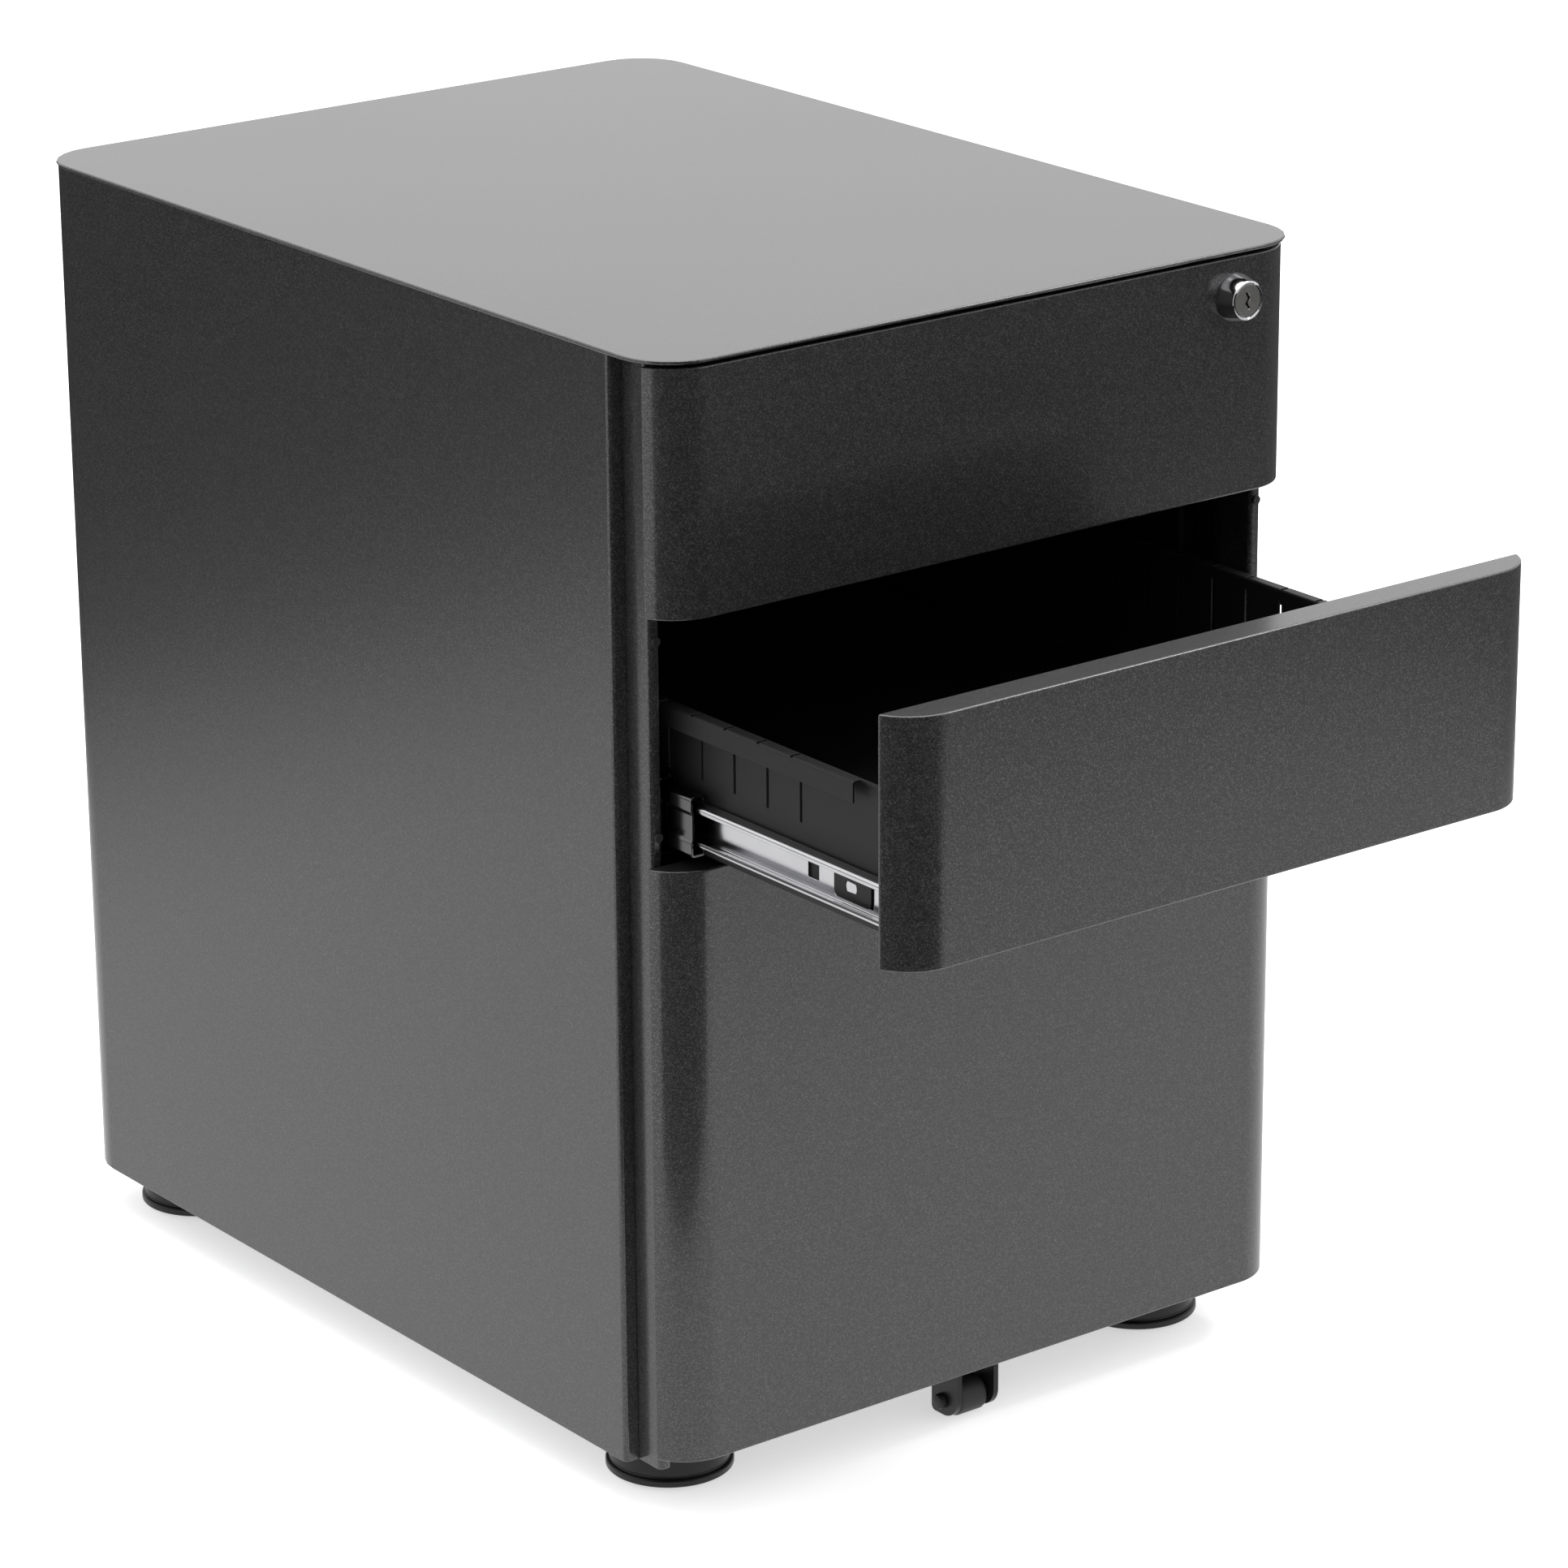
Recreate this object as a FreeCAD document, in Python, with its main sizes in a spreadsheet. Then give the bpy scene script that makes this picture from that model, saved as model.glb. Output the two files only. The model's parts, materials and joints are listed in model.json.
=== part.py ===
"""Rolling pedestal cabinet: a folded steel cabinet with three drawers on three-member
ball slides, a drawer lock, four hooded twin-wheel casters and a stabilising fifth wheel.

Millimetres. +X is the cabinet's right seen from the front, the drawers pull out along -Y and
+Z is up. The origin lies on the floor in the middle of the cabinet's plan as it stands here,
with the middle drawer partly open."""
import FreeCAD, Part
import os
import re
import Sketcher
from collections import namedtuple
from FreeCAD import Rotation, Vector

SIZES = {
    # whole cabinet
    "body_width": 396,           # over the side panels
    "body_depth": 545,           # lid, front edge to back edge
    "body_height": 560,          # lower edge of the side panels to the lid's top
    "ground_gap": 25,            # floor to the side panels
    "sheet_wall": 1,             # folded steel sheet
    "bend_radius": 1.5,          # inside radius of a fold
    "lid_thick": 2,
    "lid_over": 1,               # lid beyond the side panels
    "corner_radius": 30,         # lid corners in plan
    # finger recess beside the drawer fronts
    "side_setback": 40,          # lid's front edge back to the side panels
    "recess_depth": 8,
    "stile_setback": 22.5,       # lid's front edge back to the stiles
    "stile_width": 7,
    "stile_leg": 22,
    "stile_lap": 12,             # stile behind the side panel's return
    # drawer fronts
    "face_setback": 2,           # lid's front edge back to the drawer fronts
    "front_depth": 18.3,
    "front_gap": 1.2,
    "lid_gap": 2,
    "small_front": 120.5,        # height of the two upper fronts
    "bottom_lift": 8.5,          # side panels' lower edge up to the lowest front
    "inner_reach": 8,            # depth of the inner front's flanges
    "inner_side": 10,            # side panel's outer face in to the inner front's edge
    "middle_out": 174,           # how far the middle drawer stands open
    "middle_first": 22,          # part of that taken by the first slide stage
    # slides
    "slide_room": 13,            # between the stile opening and a tray
    "slide_start": 25.5,
    "slide_clear": 69.5,         # slides' rear ends to the lid's back edge
    "slide_rise": 20.5,          # slide centre above the lower edge of an upper front
    "tall_slide_rise": 110,
    "rail_wall": 1.2,
    "outer_high": 38,
    "mid_high": 30,
    "mid_inset": 2.4,
    "inner_high": 21,
    "outer_ball": 2.4,
    "inner_ball": 2.8,
    "cage_wall": 0.6,
    "cage_length": 72,
    "ball_pitch": 9,
    "latch_window": 28,          # release lever's window in a drawer rail
    "latch_start": 27,           # its distance from the rail's front end
    # trays
    "tray_clear": 54.7,          # trays' rear ends to the lid's back edge, drawers shut
    "tray_lift": 3,
    "tray_gap": 46.5,            # tray's rim down from its front's top
    "tall_tray_lift": 17,
    "tall_tray_gap": 39.1,
    "hem_out": 6,
    "hem_drop": 10.4,
    "hem_setback": 41,
    "back_drop": 8,              # tray's back wall below its sides
    "slot_wide": 1.8,
    "slot_low": 37,              # tray's bottom up to the slots
    "slot_high": 28,
    "slot_pitch": 25.2,
    "slot_start": 86,
    "slot_end": 30,
    # frame inside
    "base_lift": 12,             # side panels' lower edge up to the base pan
    "base_setback": 54,
    "base_flange": 25,
    "upright_wide": 30,
    "upright_lap": 10,
    "upright_front": 75,
    "upright_back": 120,
    "top_rail_drop": 18,
    "top_rail_deep": 40,
    # lock
    "lock_inset": 46,            # side panel's outer face in to the lock's centre
    "lock_drop": 24,             # lid's top down to the lock's centre
    "bezel_radius": 12,
    "bezel_face": 10,
    "bezel_out": 10,
    "barrel_radius": 8,
    "barrel_length": 28,
    "plug_radius": 6,
    "plug_play": 0.3,
    "plug_head": 8.2,            # radius of the plug's head, sunk in the bezel
    "plug_head_deep": 2,
    "keyway_half": 4.8,
    "cam_pin_throw": 5.66,
    "cam_pin_radius": 1.5,
    "bar_thick": 2,
    "bar_wide": 14,
    "bar_stroke": 8,
    "tab_high": 6,
    # casters
    "caster_inset": 46,
    "caster_front": 66.5,
    "caster_rear": 45.5,
    "hood_radius": 32,
    "hood_clear": 3,             # floor to the hood's rim
    "hood_wall": 2,
    "stem_radius": 5,
    "socket_radius": 12.5,
    "socket_plate": 2,
    "socket_sleeve": 11,
    "wheel_radius": 13.5,
    "tread_wide": 10,
    "wheel_space": 5,
    "wheel_trail": 7,
    "axle_radius": 2.5,
    "axle_play": 0.3,
    # fifth wheel under the lowest drawer
    "fifth_radius": 9.5,
    "fifth_wide": 19,
    "fifth_setback": 23,
    "fifth_clear": 2,
    "cheek_ahead": 12,           # axle to the cheeks' front edge
    "cheek_behind": 8.5,
    "cheek_round": 11,
    "axle_head": 4,              # radius of the axle's heads outside the cheeks
    "axle_head_long": 3.5,
    "cheek_wall": 3,
    "cheek_gap": 0.8,
}

doc = FreeCAD.newDocument("pedestal_cabinet")
sheet = doc.addObject("Spreadsheet::Sheet", "sizes")
for row, (alias, number) in enumerate(SIZES.items(), 1):
    sheet.set(f"A{row}", alias)
    sheet.set(f"B{row}", str(number))
    sheet.setAlias(f"B{row}", alias)
doc.recompute()

ALIASES = re.compile(r"\b(" + "|".join(SIZES) + r")\b")
VIEWS = {"plan": "XY_Plane", "front": "XZ_Plane", "side": "YZ_Plane"}
AXES = {"x": "X_Axis", "y": "Y_Axis", "z": "Z_Axis"}
NODES = []

# places that several pieces share
LID_FRONT = "((middle_out - face_setback - body_depth) / 2)"
LID_TOP = "(ground_gap + body_height)"
LID_UNDER = f"({LID_TOP} - lid_thick)"
HALF = "(body_width / 2)"
OPENING = f"({HALF} - recess_depth - stile_width)"
TRAY_SIDE = f"({OPENING} - slide_room)"
INNER_BACK = "(face_setback + front_depth)"
TOP_LOW = f"({LID_UNDER} - lid_gap - small_front)"
MIDDLE_LOW = f"({TOP_LOW} - front_gap - small_front)"
BOTTOM_LOW = "(ground_gap + bottom_lift)"
LOCK_SIDE = f"({HALF} - lock_inset)"
LOCK_LEVEL = f"({LID_TOP} - lock_drop)"
PAN_UNDER = "(ground_gap + base_lift)"
SLIDE_LENGTH = "(body_depth - slide_start - slide_clear)"
TRAY_LENGTH = f"(body_depth - {INNER_BACK} - tray_clear)"
OUTER_DEEP = "(slide_room - 2.5)"
MID_DEEP = "(slide_room - 4.4)"
INNER_DEEP = "(slide_room - 4.8)"
TALL_FRONT = f"({MIDDLE_LOW} - front_gap - {BOTTOM_LOW})"

# lower edge and height of the front, distance stood open, and above the lower edge the
# slide's centre and the tray's bottom; then the tray's height
SMALL_TRAY = "(small_front - tray_lift - tray_gap)"
Drawer = namedtuple("Drawer", "low high out rise lift tray")
DRAWERS = {
    "top": Drawer(TOP_LOW, "small_front", "0", "slide_rise", "tray_lift", SMALL_TRAY),
    "middle": Drawer(MIDDLE_LOW, "small_front", "middle_out", "slide_rise", "tray_lift", SMALL_TRAY),
    "bottom": Drawer(BOTTOM_LOW, TALL_FRONT, "0", "tall_slide_rise", "tall_tray_lift",
                     f"({TALL_FRONT} - tall_tray_lift - tall_tray_gap)"),
}


def ref(text):
    """Expression for any object but the sheet: each size gets the sheet's name."""
    return ALIASES.sub(r"sizes.\1", text)


def val(text):
    """Number that an expression of sizes has now."""
    return float(sheet.evalExpression(ref(text)))


def back(distance, out="0"):
    """Y of a place that far behind the lid's front edge, pulled out with a drawer."""
    return f"({LID_FRONT} + ({distance}) - ({out}))"


def new_body(name):
    return doc.addObject("PartDesign::Body", name)


def keep(piece, name):
    """Name a finished piece as a node of the assembly."""
    piece.Label = name
    NODES.append(piece)
    return piece


def place(piece, spot):
    """Bind a piece's place to sizes."""
    for axis, text in zip("xyz", spot):
        piece.setExpression(f"Placement.Base.{axis}", ref(text))


def origin_feature(body, role):
    return [item for item in body.Origin.OriginFeatures if item.Role == role][0]


def new_sketch(body, view, start):
    """Sketch parallel to one of the body's own planes, at a distance along its axis."""
    sketch = body.newObject("Sketcher::SketchObject", body.Name + "_sketch")
    sketch.AttachmentSupport = [(origin_feature(body, VIEWS[view]), "")]
    sketch.MapMode = "FlatFace"
    sign = "-" if view == "front" else ""
    sketch.setExpression("AttachmentOffset.Base.z", ref(f"{sign}({start})"))
    return sketch


def pin_point(sketch, item, end, spot):
    """Bind one point of a sketch to a pair of expressions."""
    for kind, text in zip(("DistanceX", "DistanceY"), spot):
        index = sketch.addConstraint(Sketcher.Constraint(kind, -1, 1, item, end, val(text)))
        sketch.setExpression(f"Constraints[{index}]", ref(text))


def outline(sketch, corners):
    """Closed outline through corners (u, v) or (u, v, radius); a corner that has a radius
    joins two runs square to each other by an arc."""
    count = len(corners)
    spots = [Vector(val(c[0]), val(c[1]), 0) for c in corners]
    rounded = [len(c) > 2 for c in corners]
    runs = [(spots[(i + 1) % count] - spots[i]).normalize() for i in range(count)]
    begins, ends = [], []
    for i in range(count):
        for near, way, ends_here in ((runs[i], 1, begins), (runs[i - 1], -1, ends)):
            if rounded[i]:
                steps = [round(way * near.x), round(way * near.y)]
                ends_here.append([f"({corners[i][k]}) + ({corners[i][2]}) * ({steps[k]})" for k in (0, 1)])
            else:
                ends_here.append(list(corners[i][:2]))
    for i in range(count):
        first = Vector(val(begins[i][0]), val(begins[i][1]), 0)
        last = Vector(val(ends[(i + 1) % count][0]), val(ends[(i + 1) % count][1]), 0)
        sketch.addGeometry(Part.LineSegment(first, last), False)
    for i in range(count):
        pin_point(sketch, i, 1, begins[i])
        if rounded[i]:
            pin_point(sketch, i - 1 if i else count - 1, 2, ends[i])
            radius = val(corners[i][2])
            centre = spots[i] + (runs[i] - runs[i - 1]) * radius
            first = Vector(val(ends[i][0]), val(ends[i][1]), 0)
            last = Vector(val(begins[i][0]), val(begins[i][1]), 0)
            middle = centre + (spots[i] - centre).normalize() * radius
            arc = sketch.addGeometry(Part.Arc(first, middle, last), False)
            start, end = (1, 2) if runs[i - 1].cross(runs[i]).z > 0 else (2, 1)
            sketch.addConstraint(Sketcher.Constraint("Coincident", arc, start, (i - 1) % count, 2))
            sketch.addConstraint(Sketcher.Constraint("Coincident", arc, end, i, 1))
            index = sketch.addConstraint(Sketcher.Constraint("Radius", arc, radius))
            sketch.setExpression(f"Constraints[{index}]", ref(corners[i][2]))
        else:
            sketch.addConstraint(Sketcher.Constraint("Coincident", (i - 1) % count, 2, i, 1))


def box_corners(left, low, right, high, radius=None):
    """Corners of a rectangle, square or rounded."""
    spots = [(left, low), (right, low), (right, high), (left, high)]
    return [spot + (radius,) for spot in spots] if radius else spots


def strip_corners(path, wall, side, bends=None):
    """Outline of a folded strip: the path of one face and its copy one wall thickness to
    the 'left' or 'right' of the way the path runs. Bends are inside radii."""
    turn = 1 if side == "left" else -1
    spots = [Vector(val(u), val(v), 0) for u, v in path]
    runs = [(b - a).normalize() for a, b in zip(spots, spots[1:])]
    normals = [Vector(-run.y, run.x, 0) * turn for run in runs]
    near, far = [], []
    for i, (u, v) in enumerate(path):
        inner = 0 < i < len(path) - 1
        shift = normals[min(i, len(normals) - 1)] + (normals[i - 1] if inner else Vector())
        copy = (f"({u}) + ({wall}) * ({round(shift.x)})", f"({v}) + ({wall}) * ({round(shift.y)})")
        if not inner:
            near.append((u, v))
            far.append(copy)
            continue
        bend = bends[i] if bends and i in bends else "bend_radius"
        wide = f"({bend}) + ({wall})"
        folds_in = runs[i - 1].cross(runs[i]).z * turn > 0
        near.append((u, v, wide if folds_in else bend))
        far.append(copy + (bend if folds_in else wide,))
    return near + far[::-1]


def pad(body, view, start, length, corners):
    """Add a prism that runs from start along the view's axis."""
    sketch = new_sketch(body, view, start)
    outline(sketch, corners)
    feature = body.newObject("PartDesign::Pad", body.Name + "_pad")
    feature.Profile = sketch
    feature.Reversed = view == "front"
    feature.setExpression("Length", ref(length))
    return feature


def cut(body, view, start, length, corners):
    """Remove a prism that runs from start along the view's axis."""
    sketch = new_sketch(body, view, start)
    outline(sketch, corners)
    return pocket(body, sketch, view, length)


def pocket(body, sketch, view, length):
    feature = body.newObject("PartDesign::Pocket", body.Name + "_cut")
    feature.Profile = sketch
    feature.Reversed = view != "front"
    feature.setExpression("Length", ref(length))
    return feature


def cut_round(body, view, start, length, centre, radius):
    """Remove a round hole along the view's axis."""
    sketch = new_sketch(body, view, start)
    circle = sketch.addGeometry(Part.Circle(Vector(val(centre[0]), val(centre[1]), 0),
                                            Vector(0, 0, 1), val(radius)), False)
    pin_point(sketch, circle, 3, centre)
    index = sketch.addConstraint(Sketcher.Constraint("Radius", circle, val(radius)))
    sketch.setExpression(f"Constraints[{index}]", ref(radius))
    return pocket(body, sketch, view, length)


def turned(body, view, axis, corners):
    """Solid of revolution about one of the sketch's own axes."""
    sketch = new_sketch(body, view, "0")
    outline(sketch, corners)
    feature = body.newObject("PartDesign::Revolution", body.Name + "_turn")
    feature.Profile = sketch
    feature.ReferenceAxis = (sketch, [axis])
    feature.Angle = 360
    return feature


def repeat(body, features, axis, pitch, count):
    """Row of copies of some features."""
    row = body.newObject("PartDesign::LinearPattern", body.Name + "_row")
    row.Originals = features
    row.Direction = (origin_feature(body, AXES[axis]), [""])
    row.Mode = "Spacing"
    row.setExpression("Offset", ref(pitch))
    row.setExpression("Occurrences", ref(count))
    body.Tip = row
    return row


def mirrored(piece, name):
    """The piece on the cabinet's other side."""
    copy = doc.addObject("Part::Mirroring", name)
    copy.Source = piece
    copy.Normal = Vector(1, 0, 0)
    return copy


def pair(body, name):
    """Node that holds a left piece and its mirror image."""
    both = doc.addObject("Part::Compound", name + "_pair")
    both.Links = [body, mirrored(body, name + "_mirror")]
    return keep(both, name)


def joined(name, pieces):
    """One solid from pieces that touch or overlap."""
    whole = doc.addObject("Part::MultiFuse", name + "_whole")
    whole.Shapes = pieces
    whole.Refine = True
    return keep(whole, name)


def group(name, pieces):
    """Node of separate solids."""
    whole = doc.addObject("Part::Compound", name + "_group")
    whole.Links = pieces
    return keep(whole, name)


def block(name, low, size):
    """Plain box from its lowest corner and its three lengths."""
    box = doc.addObject("Part::Box", name)
    place(box, low)
    for prop, text in zip(("Length", "Width", "Height"), size):
        box.setExpression(prop, ref(text))
    return box


def rod(name, foot, radius, length, direction=Vector(0, 0, 1)):
    """Plain cylinder from the middle of one end."""
    cylinder = doc.addObject("Part::Cylinder", name)
    cylinder.Placement = FreeCAD.Placement(Vector(), Rotation(Vector(0, 0, 1), direction))
    place(cylinder, foot)
    cylinder.setExpression("Radius", ref(radius))
    cylinder.setExpression("Height", ref(length))
    return cylinder


def front_outline(sketch, inset, rear):
    """Plan of a drawer front: flat face whose ends follow the lid's corners round to the
    rear line. The inset is measured inwards from the outer skin."""
    centre = f"({HALF} + lid_over - corner_radius)"
    face = back(f"face_setback + {inset}")
    core = back("corner_radius")
    radius = val(f"corner_radius - face_setback - ({inset})")
    rear_line = back(rear)
    flat = sketch.addGeometry(Part.LineSegment(Vector(-val(centre), val(face), 0),
                                               Vector(val(centre), val(face), 0)), False)
    drop = val(core) - val(rear_line)
    reach = (radius ** 2 - drop ** 2) ** 0.5
    arcs = []
    for side in (1, -1):
        middle = Vector(side * val(centre), val(core), 0)
        low = Vector(middle.x, val(face), 0)
        tip = Vector(middle.x + side * reach, val(rear_line), 0)
        half_way = middle + (low + tip - middle * 2).normalize() * radius
        arcs.append(sketch.addGeometry(Part.Arc(low, half_way, tip), False))
    right_tip = Vector(val(centre) + reach, val(rear_line), 0)
    rear_edge = sketch.addGeometry(Part.LineSegment(right_tip, Vector(-right_tip.x, right_tip.y, 0)), False)
    pin_point(sketch, flat, 1, (f"-{centre}", face))
    pin_point(sketch, flat, 2, (centre, face))
    joints = ((arcs[0], 1, flat, 2), (arcs[1], 2, flat, 1),
              (arcs[0], 2, rear_edge, 1), (arcs[1], 1, rear_edge, 2))
    for joint in joints:
        sketch.addConstraint(Sketcher.Constraint("Coincident", *joint))
    pin_point(sketch, arcs[0], 3, (centre, core))
    pin_point(sketch, arcs[1], 3, (f"-{centre}", core))
    for end in (1, 2):
        index = sketch.addConstraint(Sketcher.Constraint("DistanceY", -1, 1, rear_edge, end, val(rear_line)))
        sketch.setExpression(f"Constraints[{index}]", ref(rear_line))


# ---- cabinet shell ----

def make_wrapper():
    """Side panels and back in one bent sheet, with a narrow return at each front edge."""
    body = new_body("wrapper_body")
    side_front = back("side_setback")
    rear = back("body_depth - lid_over")
    inner = f"({HALF} - recess_depth)"
    path = [(f"-{inner}", side_front), (f"-{HALF}", side_front), (f"-{HALF}", rear),
            (HALF, rear), (HALF, side_front), (inner, side_front)]
    rear_bend = "corner_radius - lid_over - sheet_wall"
    corners = strip_corners(path, "sheet_wall", "right", {2: rear_bend, 3: rear_bend})
    pad(body, "plan", "ground_gap", f"{LID_UNDER} - ground_gap", corners)
    keep(body, "wrapper")


def make_lid():
    body = new_body("lid_body")
    edge = f"({HALF} + lid_over)"
    corners = box_corners(f"-{edge}", back("0"), edge, back("body_depth"), "corner_radius")
    pad(body, "plan", LID_UNDER, "lid_thick", corners)
    keep(body, "lid")


def make_stile(name, sign):
    """Channel that lines a finger recess and frames the drawer opening."""
    body = new_body(name + "_body")
    outer = f"({sign} * ({HALF} - recess_depth))"
    inner = f"({sign} * {OPENING})"
    face = back("stile_setback")
    path = [(outer, back("side_setback + stile_lap")), (outer, face), (inner, face),
            (inner, back("stile_setback + stile_leg"))]
    corners = strip_corners(path, "sheet_wall", "left" if sign < 0 else "right")
    pad(body, "plan", "ground_gap", f"{LID_UNDER} - ground_gap", corners)
    return body


def tab_level(drawer):
    """Height of the lock bar's tab for a drawer while the bar is up."""
    spec = DRAWERS[drawer]
    return f"({spec.low} + {spec.rise} + outer_high / 2 + 9 + bar_stroke)"


def make_stiles():
    keep(make_stile("left_stile", -1), "left_stile")
    right = make_stile("right_stile", 1)
    windows = [(tab_level(drawer), "tab_high") for drawer in DRAWERS]
    windows.append((f"({LOCK_LEVEL} - cam_pin_throw / 2 + 1)", "12"))
    for level, high in windows:
        corners = box_corners(back("stile_setback + 8"), f"{level} - bar_stroke - 2",
                              back("stile_setback + stile_leg - 4"), f"{level} + {high} + 2")
        cut(right, "side", f"{OPENING} - 1", "sheet_wall + 2", corners)
    keep(right, "right_stile")


def make_top_rails():
    """Angles under the lid that tie the side panels together."""
    span = f"({HALF} - sheet_wall)"
    for name, line, depth in (("front_top_rail", "side_setback + stile_lap + 2", "top_rail_deep"),
                              ("rear_top_rail", "body_depth - lid_over - sheet_wall", "-top_rail_deep")):
        body = new_body(name + "_body")
        path = [(back(line), f"{LID_UNDER} - top_rail_drop"), (back(line), LID_UNDER),
                (back(f"{line} + {depth}"), LID_UNDER)]
        side = "right" if name.startswith("front") else "left"
        ends = span if name.startswith("front") else f"({HALF} - corner_radius)"
        pad(body, "side", f"-{ends}", f"2 * {ends}", strip_corners(path, "sheet_wall", side))
        keep(body, name)


def make_base_pan():
    """Floor of the cabinet, with upturned sides and a hole for each caster stem."""
    body = new_body("base_pan_body")
    span = f"({HALF} - sheet_wall)"
    top = f"({PAN_UNDER} + base_flange)"
    path = [(f"-{span}", top), (f"-{span}", PAN_UNDER), (span, PAN_UNDER), (span, top)]
    start = back("base_setback")
    rear = back("body_depth - lid_over - sheet_wall")
    pad(body, "front", start, f"{rear} - {start}", strip_corners(path, "sheet_wall", "left"))
    for side in (-1, 1):
        near = f"({side} * ({HALF} - corner_radius * (1 + {side}) / 2))"
        far = f"({side} * ({HALF} - corner_radius * (1 - {side}) / 2))"
        corners = box_corners(near, f"{rear} - corner_radius", far, f"{rear} + 1")
        cut(body, "plan", f"{PAN_UNDER} - 1", "base_flange + 2", corners)
    for x, y in CASTERS.values():
        cut_round(body, "plan", f"{PAN_UNDER} - 1", "sheet_wall + 2", (x, y), "stem_radius + 3.2")
    keep(body, "base_pan")


def make_uprights():
    """Hat sections inside the side panels that carry the slides."""
    wall = f"({HALF} - sheet_wall)"
    foot = f"({PAN_UNDER} + base_flange + 2)"
    hats = []
    for place_name, line in (("front", "upright_front"), ("rear", "body_depth - upright_back")):
        body = new_body(place_name + "_upright_body")
        rows = [back(f"{line} - upright_lap"), back(line), back(f"{line} + upright_wide"),
                back(f"{line} + upright_wide + upright_lap")]
        path = [(f"-{wall}", rows[0]), (f"-{wall}", rows[1]), (f"-{OPENING}", rows[1]),
                (f"-{OPENING}", rows[2]), (f"-{wall}", rows[2]), (f"-{wall}", rows[3])]
        shifted = [(f"{u} + sheet_wall" if k in (0, 1, 4, 5) else u, v) for k, (u, v) in enumerate(path)]
        height = f"{LID_UNDER} - top_rail_drop - 4 - {foot}"
        pad(body, "plan", foot, height, strip_corners(shifted, "sheet_wall", "left"))
        hats += [body, mirrored(body, place_name + "_upright_mirror")]
    group("uprights", hats)


# ---- slides ----

def channel_corners(level, rear, deep, high, wall):
    """Section of a left slide member that opens towards the drawer."""
    path = [(f"{rear} + ({deep})", f"{level} + {high} / 2"), (rear, f"{level} + {high} / 2"),
            (rear, f"{level} - {high} / 2"), (f"{rear} + ({deep})", f"{level} - {high} / 2")]
    return strip_corners(path, wall, "left", {1: "0.8", 2: "0.8"})


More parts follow.
